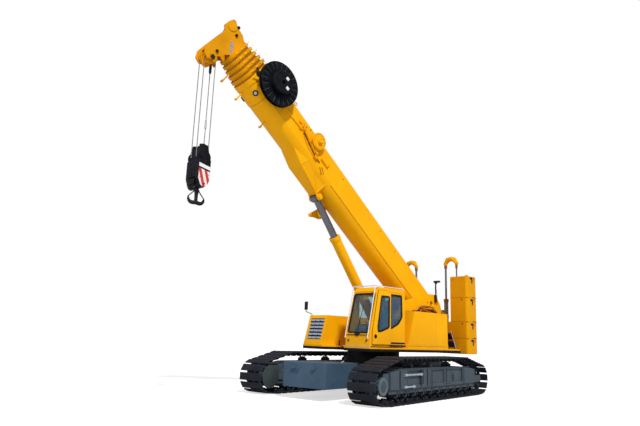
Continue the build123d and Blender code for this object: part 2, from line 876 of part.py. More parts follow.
def seat():
    """The operator's seat on its base."""
    middle = (cab_inner + cab_outer) / 2 - seat_offset
    cushion_low = seat_height - 135
    floor = cab_floor + cab_wall + running_gap
    base = block((480, 900), (middle - 180, middle + 180), (floor, cushion_low + weld_sink))
    cushion = block((430, 990), (middle - seat_half, middle + seat_half), (cushion_low, seat_height))
    cushion = fillet(cushion.edges(), 40)
    back = plate([(430, seat_height - 10), (560, seat_height - 10), (420, seat_top), (300, seat_top)],
                 (middle - seat_half + 10, middle + seat_half - 10))
    head = block((290, 400), (middle - 130, middle + 130), (seat_top - weld_sink, seat_top + 180))
    return joined([base, cushion, back, head])


def console():
    """The front desk and the two arm consoles with their levers."""
    middle = (cab_inner + cab_outer) / 2 - seat_offset
    floor = cab_floor + cab_wall + running_gap
    place, width = arm_rest
    low, high = seat_height + 50, seat_height + 160
    desk = plate([(1560, floor), (1700, floor), (1690, low), (1540, low + 100), (1430, low + 70)],
                 (middle - 230, middle + 230))
    parts = [desk]
    for y in (middle - place - width, middle + place):
        arm = block((620, 1080), (y, y + width), (low, high))
        stand = block((700, 860), (y, y + width), (floor, low + weld_sink))
        lever = bar((1010, y + width / 2, high - weld_sink), (1030, y + width / 2, high + 140), 16)
        parts.append(joined([arm, stand, lever]))
    return parts


def handrails():
    """Grab rails up the front posts and round the roof."""
    rails = []
    high = cab_roof + rail_rise
    front, top, rear = cab_front + rail_rise, cab_front_top + rail_lean, cab_rear + 60
    sides = (cab_inner + 25, cab_outer - 75)
    for y in sides:
        rails.append(bar((front, y, rail_low), (top, y, high), rail_bar))
        rails.append(bar((top, y, high), (rear, y, high), rail_bar))
        for x in (cab_front_top - 150, rear):
            rails.append(bar((x, y, cab_roof), (x, y, high), rail_bar))
        rails.append(bar((cab_front - 13, y, rail_low), (front, y, rail_low), rail_bar))
    rails.append(bar((top, sides[0], high), (top, sides[1], high), rail_bar))
    return joined(rails)


def hood_mirror():
    """The mirror on its bent arm at the hood's front corner."""
    x, y = hood_front_top - 20, hood_outer + 60
    low, middle, high = (hood_top + rise for rise in mirror_rise)
    knee, reach = (x, y, low), (x + mirror_reach, y - mirror_reach, middle)
    end = (*reach[:2], high)
    joints = [Pos(*place) * Sphere(mirror_arm) for place in (knee, reach)]
    arm = joined([bar((x, y, hood_top), knee, mirror_arm), bar(knee, reach, mirror_arm),
                  bar(reach, end, mirror_arm), *joints])
    depth, width, height = mirror_size
    glass = Pos(end[0], end[1], high - 20 + height / 2) * Box(depth, width, height)
    return arm + glass


# Boom
def section_face(s, inset):
    """The boom's cross section: flat sides and top, round belly."""
    half, top, low = boom_half - inset, boom_top - inset, boom_low + inset
    shoulder = low + boom_belly
    edges = [Line((s, -half, shoulder), (s, -half, top)), Line((s, -half, top), (s, half, top)),
             Line((s, half, top), (s, half, shoulder)),
             ThreePointArc((s, half, shoulder), (s, 0, low), (s, -half, shoulder))]
    return make_face([edge.edge() for edge in edges])


def section_tube(start, end, inset, wall=boom_wall):
    length = end - start
    outer = extrude(section_face(start, inset), amount=length, dir=(1, 0, 0))
    return outer - extrude(section_face(start, inset + wall), amount=length, dir=(1, 0, 0))


def section_inset(index):
    return index * section_step


def section_front(index):
    return boom_front + index * section_pitch


def boom_section(index):
    """One telescopic section with the collar and rope guide at its front."""
    inset, front = section_inset(index), section_front(index)
    start = section_rear + index * section_rear_step
    tube = section_tube(start, front, inset)
    collar = section_tube(front - collar_length, front, inset - collar_height, collar_height + boom_wall)
    reach = section_step - boom_wall - running_gap
    top, half = boom_top - inset, boom_half - inset
    shoulder = boom_low + inset + boom_belly
    guide = block((front - 60, front - 40), (-14, 14), (top, top + guide_rise))
    pads = [block((start, start + 200), (half - 140, half - 40), (top - 2, top + reach)),
            block((start, start + 200), (half - 2, half + reach), (shoulder + 20, shoulder + 150))]
    parts = [tube, collar, guide] + [pad for piece in pads for pad in both_sides(piece)]
    owner, s, end = section_stub
    if index == owner:
        parts.append(stub(s, end, boom_low + inset - collar_height + 2))
    return joined(parts)


def boom_base():
    """The base section with its foot, front collar and the saddle for the luffing cylinder."""
    length, height = base_collar
    tube = section_tube(300, boom_front, 0)
    collar = section_tube(boom_front - length, boom_front, -height, height + boom_wall)
    foot = plate(foot_line, (-boom_half, boom_half))
    foot -= block((-300, 620), (-boom_half + foot_wall, boom_half - foot_wall), (boom_low + 60, boom_top - 40))
    foot -= drum((0, 0), (-boom_half - 5, boom_half + 5), boom_pin_radius + running_gap)
    near, far = lug_plate
    lug = plate(lug_line, lug_plate) + drum(eye_place, (near - weld_sink, far + 35), lug_boss)
    bracket = joined([saddle()] + both_sides(lug))
    bracket -= drum(eye_place, (-far - 40, far + 40), eye_pin_radius + running_gap)
    bracket -= extrude(section_face(saddle_rear - 400, boom_wall / 2), amount=2600, dir=(1, 0, 0))
    return joined([tube, collar, foot, bracket])


def saddle():
    """The folded plate trough round the belly, open to the rear, with a flange round its mouth."""
    inner = [(s - saddle_plate, half - saddle_plate, n + saddle_plate) for s, half, n in saddle_line]
    shell = trough(saddle_line) - trough(inner)
    rear, shoulder = saddle_line[0], saddle_line[1]
    mouth = [(shoulder[1], shoulder[2]), (rear[1], rear[2]), (-rear[1], rear[2]), (-shoulder[1], shoulder[2])]
    rims = []
    for share in saddle_rim:
        edge = Polyline(*[(saddle_rear, y * share, n * share) for y, n in mouth], close=True)
        rims.append(extrude(make_face(edge), amount=saddle_flange, dir=(1, 0, 0)))
    outside, inside = rims
    return shell + (outside - inside)


def trough(line):
    """A flat-faced solid between rear end, shoulder, knee and nose, alike on both sides."""
    rear_end, shoulder_end = line[0], line[1]
    left = [(rear_end[0], *shoulder_end[1:]), *line]
    right = [(s, -y, n) for s, y, n in left]
    top, low, shoulder, bend, tip = range(len(left))
    faces = [[side[i] for i in corner] for side in (left, right)
             for corner in ((top, low, shoulder), (low, bend, shoulder), (shoulder, bend, tip))]
    for first, last in ((top, low), (low, bend), (bend, tip), (tip, shoulder), (shoulder, top)):
        faces.append([left[first], left[last], right[last], right[first]])
    shell = Shell([Face(Wire.make_polygon(corners, close=True)) for corners in faces])
    return Solid(shell)


def boom_fittings():
    """Jib mounting housing, brackets and rope guides along the base section."""
    near = boom_half + running_gap
    start = near
    housing = []
    for reach, radius in boss_rings:
        housing.append(drum(jib_boss, (start, near + reach), radius))
        start = near + reach
    ends, heights, depth = side_box
    parts = [joined(housing), block(ends, (near, near + depth), heights)]
    top = boom_top + running_gap
    for s in rope_eyes:
        parts.append(block((s, s + 60), (200, 240), (top, top + 170)))
    for s in top_guides:
        parts.append(block((s, s + 40), (-60, 60), (top, top + 120)))
    for s, reach in base_stubs:
        parts.append(stub(s, reach, boom_low - running_gap))
    return parts


def stub(s, reach, top):
    """A rope guide that hangs under the boom, with a small roller at its end."""
    return bar((s, 0, reach), (s, 0, top), stub_bar).fuse(drum((s, reach), (-45, 45), stub_roller))


def reel_arm():
    """The bracket that holds the cable reel off the boom's side."""
    s, n = reel_place
    near = boom_half + base_collar[1] + running_gap
    reel = boom_half + reel_off
    end = reel + reel_thickness + 20
    arm = plate([(s + along, n + across) for along, across in arm_line], (near, near + 40))
    arm += drum(reel_place, (boom_half + running_gap, end), spindle_radius)
    arm += drum(reel_place, (end - 15, end), spindle_cap)
    return arm + drum(reel_place, (boom_half + running_gap, reel - 5), 110)


def cable_reel():
    """A flat reel with radial ribs that pays out the cable along the boom."""
    near = boom_half + reel_off
    far = near + reel_thickness
    disc = drum(reel_place, (near, near + 14), reel_radius)
    disc += drum(reel_place, (near, far), reel_hub)
    disc += drum(reel_place, (far - 24, far - 10), reel_radius)
    for index in range(reel_ribs):
        turn = 360 * index / reel_ribs
        rib = Rot(Y=turn) * block((-9, 9), (near, far - 2), (reel_hub - 10, reel_radius - 6))
        disc += Pos(reel_place[0], 0, reel_place[1]) * rib
    return disc - drum(reel_place, (near - 5, far + 5), spindle_radius + shaft_gap)


def boom_head():
    """The welded head on the last section: side plates, lugs and cross plates."""
    near = head_half - head_plate
    low, high = head_foot
    sides = []
    for crown in (head_ear, head_plain):
        line = [(running_gap, low), *head_nose, *crown, (running_gap, high)]
        side = plate([(head_start + s, n) for s, n in line], (near, head_half))
        side += drum(jib_pin, (near, head_half + 15), jib_ring)
        side -= drum(jib_pin, (near - 5, head_half + 20), jib_bore)
        sides.append(side - drum(sheave_place, (near - 5, head_half + 5), sheave_shaft + shaft_gap))
    left, right = sides
    left += drum(guide_place, (near - 25, head_half + 22), guide_cover)
    webs = [block((head_start + start, head_start + end), (-near - weld_sink, near + weld_sink), (foot, head))
            for start, end, foot, head in head_webs]
    inner = section_face(head_start - 40, section_inset(section_count) + boom_wall + 2)
    back = extrude(inner, amount=70, dir=(1, 0, 0))
    return joined([left, mirror(right, about=Plane.XZ), *webs, back, guide_sheave()])


def head_sheaves():
    """The two rope sheaves in the lower nose, on their shaft."""
    return joined(rope_wheels(sheave_place) + [drum(sheave_place, (-head_half, head_half), sheave_shaft)])


def rope_wheels(place):
    return [drum(place, (y - sheave_half, y + sheave_half), sheave_radius)
            for y in (-rope_spacing, rope_spacing)]


def guide_sheave():
    """The sheave beside the left plate that leads a rope over the head."""
    near = head_half - head_plate
    return drum(guide_place, (near - 95, near - 20), guide_radius)


# Luffing cylinder: its foot stands in the deck's ears, its rod's eye is held in the boom's bracket
def cylinder_line():
    foot = Vector(cylinder_foot[0], 0, cylinder_foot[1])
    eye_x, eye_z = boom_point(eye_place)
    eye = Vector(eye_x, 0, eye_z)
    return foot, eye, (eye - foot).normalized()


def luffing_barrel():
    """The cylinder's barrel with its gland and the eye at its foot."""
    foot, eye, along = cylinder_line()
    place = (foot.X, foot.Z)
    mouth = foot + along * barrel_length
    body = bar(foot + along * 150, mouth, barrel_radius)
    body += bar(mouth - along * 90, mouth + along * 40, barrel_radius + 18)
    body += drum(place, (7 - well_half, well_half - 7), foot_eye)
    body -= bar(foot + along * 400, mouth + along * 60, rod_radius + 1)
    return body - drum(place, (-well_half, well_half), foot_bore)


def luffing_rod():
    """The cylinder's rod with its eye."""
    foot, eye, along = cylinder_line()
    place = (eye.X, eye.Z)
    body = bar(foot + along * barrel_length / 2, eye - along * 90, rod_radius)
    body += drum(place, (-rod_eye_half, rod_eye_half), rod_eye)
    return body - drum(place, (-rod_eye_half - 20, rod_eye_half + 20), eye_pin_radius + shaft_gap)


def eye_pin():
    """The pin through the rod's eye and both lugs."""
    end = lug_plate[1] + 35 + pin_end
    return drum(boom_point(eye_place), (-end, end), eye_pin_radius)


def foot_pin():
    """The pin through the boom's foot, with a cap outside each cheek. It turns with the boom."""
    outer = cheek_outer + 60
    pin = drum(boom_pin, (-outer, outer), boom_pin_radius)
    for y in (outer, -outer - 25):
        pin += drum(boom_pin, (y, y + 25), boom_pin_radius + 35)
    return pin


# Hook
def rope_x():
    return boom_point(sheave_place)[0]


def hoist_ropes():
    """Four falls between the head sheaves and the hook block."""
    top = boom_point(sheave_place)[1]
    falls = []
    for side in (-1, 1):
        for y in (-rope_spacing, rope_spacing):
            x = rope_x() + side * (sheave_radius + rope_radius + running_gap)
            falls.append(bar((x, y, block_axle), (x, y, top), rope_radius))
    return falls


def hook_block():
    """Cheek plates with their ballast weights, cover plates and the crosshead that carries the hook."""
    x, low = rope_x(), block_low
    plate_side = block_side - 35
    edge = [(x - 90, low), (x + 90, low), (x + block_half, low + 260), (x + block_half, 6420),
            (x + 120, block_top), (x - 120, block_top), (x - block_half, 6420), (x - block_half, low + 260)]
    side = plate(edge, (plate_side, block_side))
    edge_gap = block_half - 4
    weight = [(x - 80, low + 10), (x + 80, low + 10), (x + edge_gap, low + 270), (x + edge_gap, 6360),
              (x - edge_gap, 6360), (x - edge_gap, low + 270)]
    side += plate(weight, (block_side - 5, weight_side))
    collar = [(x + 150, 6380), (x + 120, 6700), (x - 120, 6700), (x - 150, 6380)]
    side += plate(collar, (block_side - 5, block_side + 50))
    side -= drum((x, block_axle), (plate_side - 5, block_side + 60), sheave_shaft + shaft_gap)
    body = both_sides(side)
    for face in (-1, 1):
        near, far = sorted((x + face * (block_half - 22), x + face * (block_half - 2)))
        body.append(block((near, far), (-plate_side - 3, plate_side + 3), (low + 280, 6200)))
    body.append(block((x - 70, x + 70), (-25, 25), (block_top - 60, block_top - 20)))
    for y in (-plate_side - 3, plate_side - 57):
        body.append(block((x - 30, x + 30), (y, y + 60), (block_top - 60, block_top - 20)))
    body.append(block((x - 20, x + 20), (-plate_side - 3, plate_side + 3), (block_top - 50, block_top - 30)))
    middle = block((x - 110, x + 110), (-plate_side - 5, plate_side + 5), (low + 20, low + 200))
    middle -= bar((x, 0, low - 5), (x, 0, low + 205), shank_radius + shaft_gap)
    return joined(body + [middle])


def block_sheaves():
    place = (rope_x(), block_axle)
    return joined(rope_wheels(place) + [drum(place, (-block_side - 50, block_side + 50), sheave_shaft)])


def hook():
    """A double hook on its swivelling shank, with a latch over each throat."""
    x = rope_x()
    throat = hook_tip + horn_radius + horn_bar
    shank = bar((x, 0, throat - 30), (x, 0, block_low + 202), shank_radius)
    nut = bar((x, 0, block_low + 200 + running_gap), (x, 0, block_low + 262), nut_radius)
    parts = [shank, nut]
    for side in (-1, 1):
        centre = Plane((x + side * horn_radius, 0, throat), x_dir=(-side, 0, 0), z_dir=(0, side, 0))
        parts.append(centre.location * horn())
        latch_end = (x + side * 2 * horn_radius, 0, throat + 40)
        parts.append(bar((x + side * 40, 0, block_low - 95), latch_end, latch_bar))
    return joined(parts)


def horn():
    """Half of the double hook: a round bar bent from the shank down and up to its tip."""
    bend = Solid.make_torus(horn_radius, horn_bar, Plane.XY, 0, 360, horn_bend)
    turn = math.radians(horn_bend)
    tip = Pos(horn_radius * math.cos(turn), horn_radius * math.sin(turn), 0) * Sphere(horn_bar)
    return bend + tip


os.makedirs("parts", exist_ok=True)

for side, word in ((1, "left"), (-1, "right")):
    save(f"track_{word}", track(side), tracks_turned)
    save(f"track_frame_{word}", track_frame(side), tracks_turned)
    save(f"track_wheels_{word}", running_wheels(side) + [idler(side)], tracks_turned)
    save(f"final_drive_{word}", final_drive(side), tracks_turned)
save("carbody", carbody(), tracks_turned)
save("slewing_ring", slewing_ring(), tracks_turned)
save("carbody_ballast", [carbody_ballast(1), carbody_ballast(-1)], tracks_turned)

save("deck_frame", deck())
save("engine_hood", hood())
save("hood_grille", hood_grille())
save("engine_block", engine())
save("side_locker", locker())
save("counterweight_base", counterweight_base())
left_slabs = [slab(index) for index in range(1, len(slab_joints) - 1)]
save("counterweight_slabs_left", left_slabs)
save("counterweight_slabs_right", [mirror(shape, about=Plane.XZ) for shape in left_slabs])
save("ballast_arms", ballast_arms())
save("upper_fittings", [ladder(), rear_mast(), hood_mirror()])
save("main_winch", winch(main_winch_place, 350, 240, winch_half))
save("auxiliary_winch", winch(aux_winch_place, 270, 190, winch_half))

save("cab_shell", cab_shell())
save("cab_glass", cab_glass())
save("cab_door", cab_door())
save("cab_door_glass", door_glass())
save("cab_interior", [seat()] + console())
save("cab_handrails", handrails())

save("boom_base", on_boom(boom_base()))
save("boom_fittings", [on_boom(shape) for shape in boom_fittings() + [reel_arm()]] + [eye_pin(), foot_pin()])
save("cable_reel", on_boom(cable_reel()))
for index in range(1, section_count + 1):
    save(f"boom_section_{index}", on_boom(boom_section(index)))
save("boom_head", on_boom(boom_head()))
save("head_sheaves", on_boom(head_sheaves()))
save("luffing_barrel", luffing_barrel())
save("luffing_rod", luffing_rod())
save("hoist_ropes", hoist_ropes())
save("hook_block", hook_block())
save("block_sheaves", block_sheaves())
save("crane_hook", hook())
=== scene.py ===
import math
import random
import bmesh
import bpy
from mathutils import Matrix, Vector


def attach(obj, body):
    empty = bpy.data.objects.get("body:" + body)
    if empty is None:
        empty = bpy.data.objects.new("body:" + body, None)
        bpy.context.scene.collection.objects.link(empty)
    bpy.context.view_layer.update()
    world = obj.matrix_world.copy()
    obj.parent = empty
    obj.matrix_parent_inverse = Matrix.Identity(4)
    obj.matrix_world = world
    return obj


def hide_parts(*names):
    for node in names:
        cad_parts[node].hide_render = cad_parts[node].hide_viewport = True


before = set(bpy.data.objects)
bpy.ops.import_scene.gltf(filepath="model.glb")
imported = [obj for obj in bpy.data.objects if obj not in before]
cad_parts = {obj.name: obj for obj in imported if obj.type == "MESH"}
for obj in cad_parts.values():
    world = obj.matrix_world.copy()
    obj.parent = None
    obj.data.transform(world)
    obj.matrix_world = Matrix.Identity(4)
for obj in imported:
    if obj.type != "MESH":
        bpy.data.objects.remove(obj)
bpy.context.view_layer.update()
print("frame loaded")

place = {
    "boomAngle": 37.8,           # degrees above the ground
    "boomPin": (-2.74, 0.0, 2.88), "trackTurn": 9.0,            # degrees, tracks against the upper machine
    "trackMiddle": 2.05,
}
bothSides = ((1, "left"), (-1, "right"))
boomTurn = math.radians(place["boomAngle"])
boomMatrix = Matrix.Translation(place["boomPin"]) @ Matrix.Rotation(-boomTurn, 4, "Y")
trackMatrix = Matrix.Rotation(math.radians(place["trackTurn"]), 4, "Z")


# shader writing: a wire is a socket that can be added, multiplied and compared
class Wire:
    def __init__(self, page, socket):
        self.page = page
        self.socket = socket

    def math(self, operation, *others):
        return self.page.value("ShaderNodeMath", {"operation": operation}, [self, *others])

    def __add__(self, other):
        return self.math("ADD", other)

    def __radd__(self, other):
        return self.math("ADD", other)

    def __sub__(self, other):
        return self.math("SUBTRACT", other)

    def __rsub__(self, other):
        return self.page.value("ShaderNodeMath", {"operation": "SUBTRACT"}, [other, self])

    def __mul__(self, other):
        return self.math("MULTIPLY", other)

    def __rmul__(self, other):
        return self.math("MULTIPLY", other)

    def __gt__(self, other):
        return self.math("GREATER_THAN", other)

    def __lt__(self, other):
        return self.math("LESS_THAN", other)


class Sheet:
    # writes nodes into one tree
    def __init__(self, tree):
        self.tree = tree
        tree.nodes.clear()

    def node(self, kind, settings=None, inputs=None):
        made = self.tree.nodes.new(kind)
        for key, value in (settings or {}).items():
            setattr(made, key, value)
        pairs = enumerate(inputs) if isinstance(inputs, (list, tuple)) else (inputs or {}).items()
        for key, value in pairs:
            self.join(made.inputs[key], value)
        return made

    def join(self, socket, value):
        if isinstance(value, Wire):
            self.tree.links.new(value.socket, socket)
        elif isinstance(value, bpy.types.NodeSocket):
            self.tree.links.new(value, socket)
        else:
            socket.default_value = value

    def value(self, kind, settings, inputs, outlet=0):
        return Wire(self, self.node(kind, settings, inputs).outputs[outlet])

    def seenByCamera(self):
        # 1 for what the camera sees, straight on or through glass
        path = self.node("ShaderNodeLightPath")
        straight = Wire(self, path.outputs["Is Camera Ray"])
        return straight.math("MAXIMUM", Wire(self, path.outputs["Is Transmission Ray"]))


class Finish(Sheet):
    sockets = {"color": "Base Color", "rough": "Roughness", "metal": "Metallic", "normal": "Normal",
               "coat": "Coat Weight", "specular": "Specular IOR Level"}

    def __init__(self, name):
        self.material = bpy.data.materials.new(name)
        self.material.use_nodes = True
        super().__init__(self.material.node_tree)
        self.shader = self.node("ShaderNodeBsdfPrincipled")
        self.output = self.node("ShaderNodeOutputMaterial", {}, {"Surface": self.shader.outputs[0]})
        self.place = self.node("ShaderNodeTexCoord").outputs["Object"]

    def setShader(self, **inputs):
        for key, value in inputs.items():
            if isinstance(value, tuple) and len(value) == 3:
                value = (*value, 1)
            self.join(self.shader.inputs[self.sockets[key]], value)

    def stretched(self, size):
        return self.node("ShaderNodeMapping", {}, {"Vector": self.place, "Scale": size}).outputs[0]

    def noise(self, scale, detail=3.0, rough=0.55, where=None):
        return self.value("ShaderNodeTexNoise", {}, {"Vector": where or self.place, "Scale": scale,
                                                     "Detail": detail, "Roughness": rough})

    def axes(self):
        made = self.node("ShaderNodeSeparateXYZ", {}, [self.place])
        return [Wire(self, outlet) for outlet in made.outputs]

    def ramp(self, factor, low, high):
        made = self.node("ShaderNodeMapRange", {"clamp": True},
                         {"Value": factor, "From Min": low, "From Max": high})
        return Wire(self, made.outputs[0])

    def blend(self, factor, first, second):
        made = self.node("ShaderNodeMix", {"data_type": "RGBA"})
        self.join(made.inputs["Factor"], factor)
        for socket, value in zip([s for s in made.inputs if s.type == "RGBA"], (first, second)):
            self.join(socket, (*value, 1) if isinstance(value, tuple) and len(value) == 3 else value)
        return Wire(self, [s for s in made.outputs if s.type == "RGBA"][0])

    def bump(self, height, strength=0.3, distance=0.01, normal=None):
        inputs = {"Height": height, "Strength": strength, "Distance": distance}
        if normal is not None:
            inputs["Normal"] = normal
        return Wire(self, self.node("ShaderNodeBump", {}, inputs).outputs[0])

    def roundEdge(self, radius):
        return Wire(self, self.node("ShaderNodeBevel", {"samples": 4}, {"Radius": radius}).outputs[0])

    def edgeMask(self, rounded):
        flat = self.node("ShaderNodeNewGeometry").outputs["Normal"]
        dot = self.node("ShaderNodeVectorMath", {"operation": "DOT_PRODUCT"},
                        [rounded, flat]).outputs["Value"]
        return self.ramp(1.0 - Wire(self, dot), 0.02, 0.25)


# finishes
def yellowPaint(name="yellowPaint", blackBelow=None):
    look = {"bright": (0.96, 0.475, 0.002), "deep": (0.86, 0.355, 0.0015), "dust": (0.5, 0.27, 0.06),
            "worn": (0.97, 0.5, 0.04), "black": (0.012, 0.013, 0.016),
            "dustRange": (2.1, 1.3)}     # metres above the ground
    page = Finish(name)
    height = page.axes()[2]
    cloud = page.noise(0.9, 4)
    speck = page.noise(34, 5, 0.7)
    color = page.blend(page.ramp(cloud, 0.3, 0.75) * 0.55, look["bright"], look["deep"])
    rounded = page.roundEdge(0.012)
    # paler edges: partly worn paint, partly a painted edge highlight
    edge = page.edgeMask(rounded) * page.ramp(page.noise(6, 4), 0.42, 0.62)
    color = page.blend(edge * 0.5, color, look["worn"])
    low = page.ramp(height, *look["dustRange"]) * page.ramp(page.noise(3.5, 5, 0.7), 0.42, 0.75)
    color = page.blend(low * 0.35, color, look["dust"])
    streak = page.noise(9, 3, 0.6, page.stretched((1, 1, 0.12)))
    color = page.blend(page.ramp(streak, 0.62, 0.85) * 0.22, color, look["dust"])
    if blackBelow is not None:
        color = page.blend(height < blackBelow, color, look["black"])
    page.setShader(color=color, rough=page.ramp(speck, 0.2, 0.9) * 0.16 + low * 0.2 + 0.36, specular=0.1,
                   normal=page.bump(speck, 0.04, 0.004, rounded))
    return page.material


def castPaint(name="castPaint", bright=(0.84, 0.36, 0.002), deep=(0.68, 0.26, 0.0015)):
    look = {"bright": bright, "deep": deep, "chip": (0.2, 0.11, 0.05)}
    page = Finish(name)
    lump = page.noise(5, 5, 0.6)
    grain = page.noise(45, 4, 0.7)
    color = page.blend(page.ramp(page.noise(1.2, 3), 0.35, 0.7) * 0.6, look["bright"], look["deep"])
    rounded = page.roundEdge(0.02)
    chip = page.edgeMask(rounded) * (page.noise(17, 6, 0.75) > 0.6)
    streak = page.noise(10, 4, 0.65, page.stretched((1, 1, 0.1)))
    color = page.blend(page.ramp(streak, 0.58, 0.85) * 0.28, color, look["deep"])
    color = page.blend(chip * 0.75, color, look["chip"])
    page.setShader(color=color, rough=lump * 0.2 + 0.44, specular=0.08,
                   normal=page.bump(lump * 0.6 + grain * 0.4, 0.22, 0.006, rounded))
    return page.material


def armPaint():
    # steel posts below, a yellow yoke above
    look = {"change": 4.64, "yellow": (0.92, 0.43, 0.002), "steel": (0.17, 0.2, 0.25),
            "rust": (0.2, 0.1, 0.05)}
    page = Finish("armPaint")
    height = page.axes()[2]
    smear = page.noise(6, 5, 0.65)
    steel = page.blend(page.ramp(smear, 0.5, 0.8) * 0.6, look["steel"], look["rust"])
    upper = height > look["change"]
    color = page.blend(upper, steel, look["yellow"])
    page.setShader(color=color, metal=(1.0 - upper) * 0.5, rough=smear * 0.2 + 0.34, specular=0.12,
                   normal=page.bump(smear, 0.06, 0.003))
    return page.material


def darkPaint(name, base, dustShare=0.25, roughness=0.42, edgeColor=(0.16, 0.17, 0.19)):
    page = Finish(name)
    dirt = page.noise(3.2, 6, 0.68)
    color = page.blend(page.ramp(page.noise(1.4, 3), 0.3, 0.75), base, tuple(c * 1.35 for c in base))
    rounded = page.roundEdge(0.01)
    edge = page.edgeMask(rounded) * page.ramp(page.noise(14, 5, 0.7), 0.38, 0.62)
    color = page.blend(edge * 0.55, color, edgeColor)
    dust = page.ramp(dirt, 0.48, 0.8) * dustShare
    color = page.blend(dust, color, (0.19, 0.17, 0.145))
    page.setShader(color=color, rough=dirt * 0.22 + (roughness - 0.08), specular=0.12,
                   normal=page.bump(page.noise(26, 5, 0.7), 0.07, 0.004, rounded))
    return page.material


def trackSteel(name="trackSteel", base=(0.012, 0.0145, 0.02), bright=(0.19, 0.2, 0.22)):
    page = Finish(name)
    rust = page.noise(5.5, 6, 0.7)
    grain = page.noise(60, 4, 0.7)
    color = page.blend(page.ramp(page.noise(2.2, 4), 0.3, 0.75), base, tuple(c * 1.9 for c in base))
    color = page.blend(page.ramp(rust, 0.6, 0.8) * 0.3, color, (0.055, 0.036, 0.026))
    rounded = page.roundEdge(0.009)
    edge = page.edgeMask(rounded) * page.ramp(page.noise(11, 4), 0.3, 0.55)
    color = page.blend(edge * 0.75, color, bright)
    page.setShader(color=color, metal=edge * 0.5 + 0.12, rough=rust * 0.25 + 0.48 - edge * 0.14,
                   specular=0.12, normal=page.bump(rust * 0.5 + grain * 0.5, 0.28, 0.004, rounded))
    return page.material


def bareMetal(name, base, roughness, stretch=(1, 1, 1), scale=60, bumpiness=0.05, metal=1.0):
    page = Finish(name)
    brush = page.noise(scale, 4, 0.6, page.stretched(stretch))
    smear = page.noise(4, 4, 0.6)
    color = page.blend(page.ramp(smear, 0.35, 0.75) * 0.5, base, tuple(c * 0.72 for c in base))
    page.setShader(color=color, metal=metal, rough=brush * 0.14 + smear * 0.1 + roughness - 0.08,
                   normal=page.bump(brush, bumpiness, 0.002))
    return page.material


def rodChrome():
    page = Finish("rodChrome")
    film = page.noise(7, 4, 0.6)
    color = page.blend(page.ramp(film, 0.45, 0.8) * 0.6, (0.2, 0.21, 0.24), (0.15, 0.12, 0.1))
    page.setShader(color=color, metal=0.9, rough=film * 0.2 + 0.2)
    return page.material


def tintedGlass():
    page = Finish("tintedGlass")
    smear = page.noise(2.5, 4, 0.6)
    clear = page.node("ShaderNodeBsdfTransparent", {}, {"Color": (0.8, 0.88, 0.9, 1)})
    gloss = page.node("ShaderNodeLayerWeight", {}, {"Blend": 0.24}).outputs["Fresnel"]
    amount = Wire(page, gloss) * 0.55 + page.ramp(smear, 0.45, 0.8) * 0.12 + 0.05
    page.setShader(color=(0.12, 0.27, 0.42), rough=0.04, metal=0.0, specular=0.9)
    mixed = page.node("ShaderNodeMixShader", {}, [amount, clear.outputs[0], page.shader.outputs[0]])
    page.join(page.output.inputs["Surface"], mixed.outputs[0])
    return page.material


def rubber(name="rubber", base=(0.012, 0.012, 0.013), roughness=0.62, grainScale=160):
    page = Finish(name)
    grain = page.noise(grainScale, 3, 0.6)
    color = page.blend(page.ramp(page.noise(9, 4), 0.4, 0.8) * 0.5, base, tuple(c * 2.2 for c in base))
    page.setShader(color=color, rough=grain * 0.15 + roughness - 0.07, specular=0.14,
                   normal=page.bump(grain, 0.12, 0.002))
    return page.material


def strandedRope():
    base = (0.3, 0.31, 0.33)
    page = Finish("strandedRope")
    turn = page.value("ShaderNodeTexWave", {"wave_type": "BANDS", "bands_direction": "DIAGONAL"},
                      {"Vector": page.place, "Scale": 26.0, "Distortion": 0.4}, 1)
    grease = page.noise(3, 4)
    color = page.blend(turn * 0.8, tuple(c * 0.35 for c in base), base)
    color = page.blend(page.ramp(grease, 0.5, 0.75) * 0.4, color, (0.05, 0.045, 0.04))
    page.setShader(color=color, metal=0.6, rough=grease * 0.2 + 0.34, normal=page.bump(turn, 0.6, 0.004))
    return page.material


def warningStripes():
    look = {"pitch": 0.56, "lean": 3.24, "shift": 0.1, "red": (0.5, 0.045, 0.045), "white": (0.82, 0.74, 0.7)}
    page = Finish("warningStripes")
    x, _, z = page.axes()
    along = (z - x * look["lean"]) * (1 / look["pitch"]) - look["shift"]
    band = along.math("FRACT")
    red = page.ramp(band, 0.46, 0.49) - page.ramp(band, 0.97, 1.0)
    scuff = page.noise(22, 6, 0.75)
    color = page.blend(red, look["white"], look["red"])
    color = page.blend(page.ramp(scuff, 0.58, 0.75) * 0.35, color, (0.1, 0.08, 0.07))
    page.setShader(color=color, rough=scuff * 0.2 + 0.28, coat=0.2, normal=page.bump(scuff, 0.05, 0.002))
    return page.material


def reelPlastic():
    page = Finish("reelPlastic")
    grain = page.noise(90, 4, 0.65)
    dust = page.noise(4, 5, 0.65)
    color = page.blend(page.ramp(dust, 0.45, 0.8) * 0.5, (0.004, 0.005, 0.007), (0.02, 0.023, 0.028))
    rounded = page.roundEdge(0.006)
    page.setShader(color=color, rough=grain * 0.12 + 0.4, specular=0.1,
                   normal=page.bump(grain, 0.06, 0.002, rounded))
    return page.material


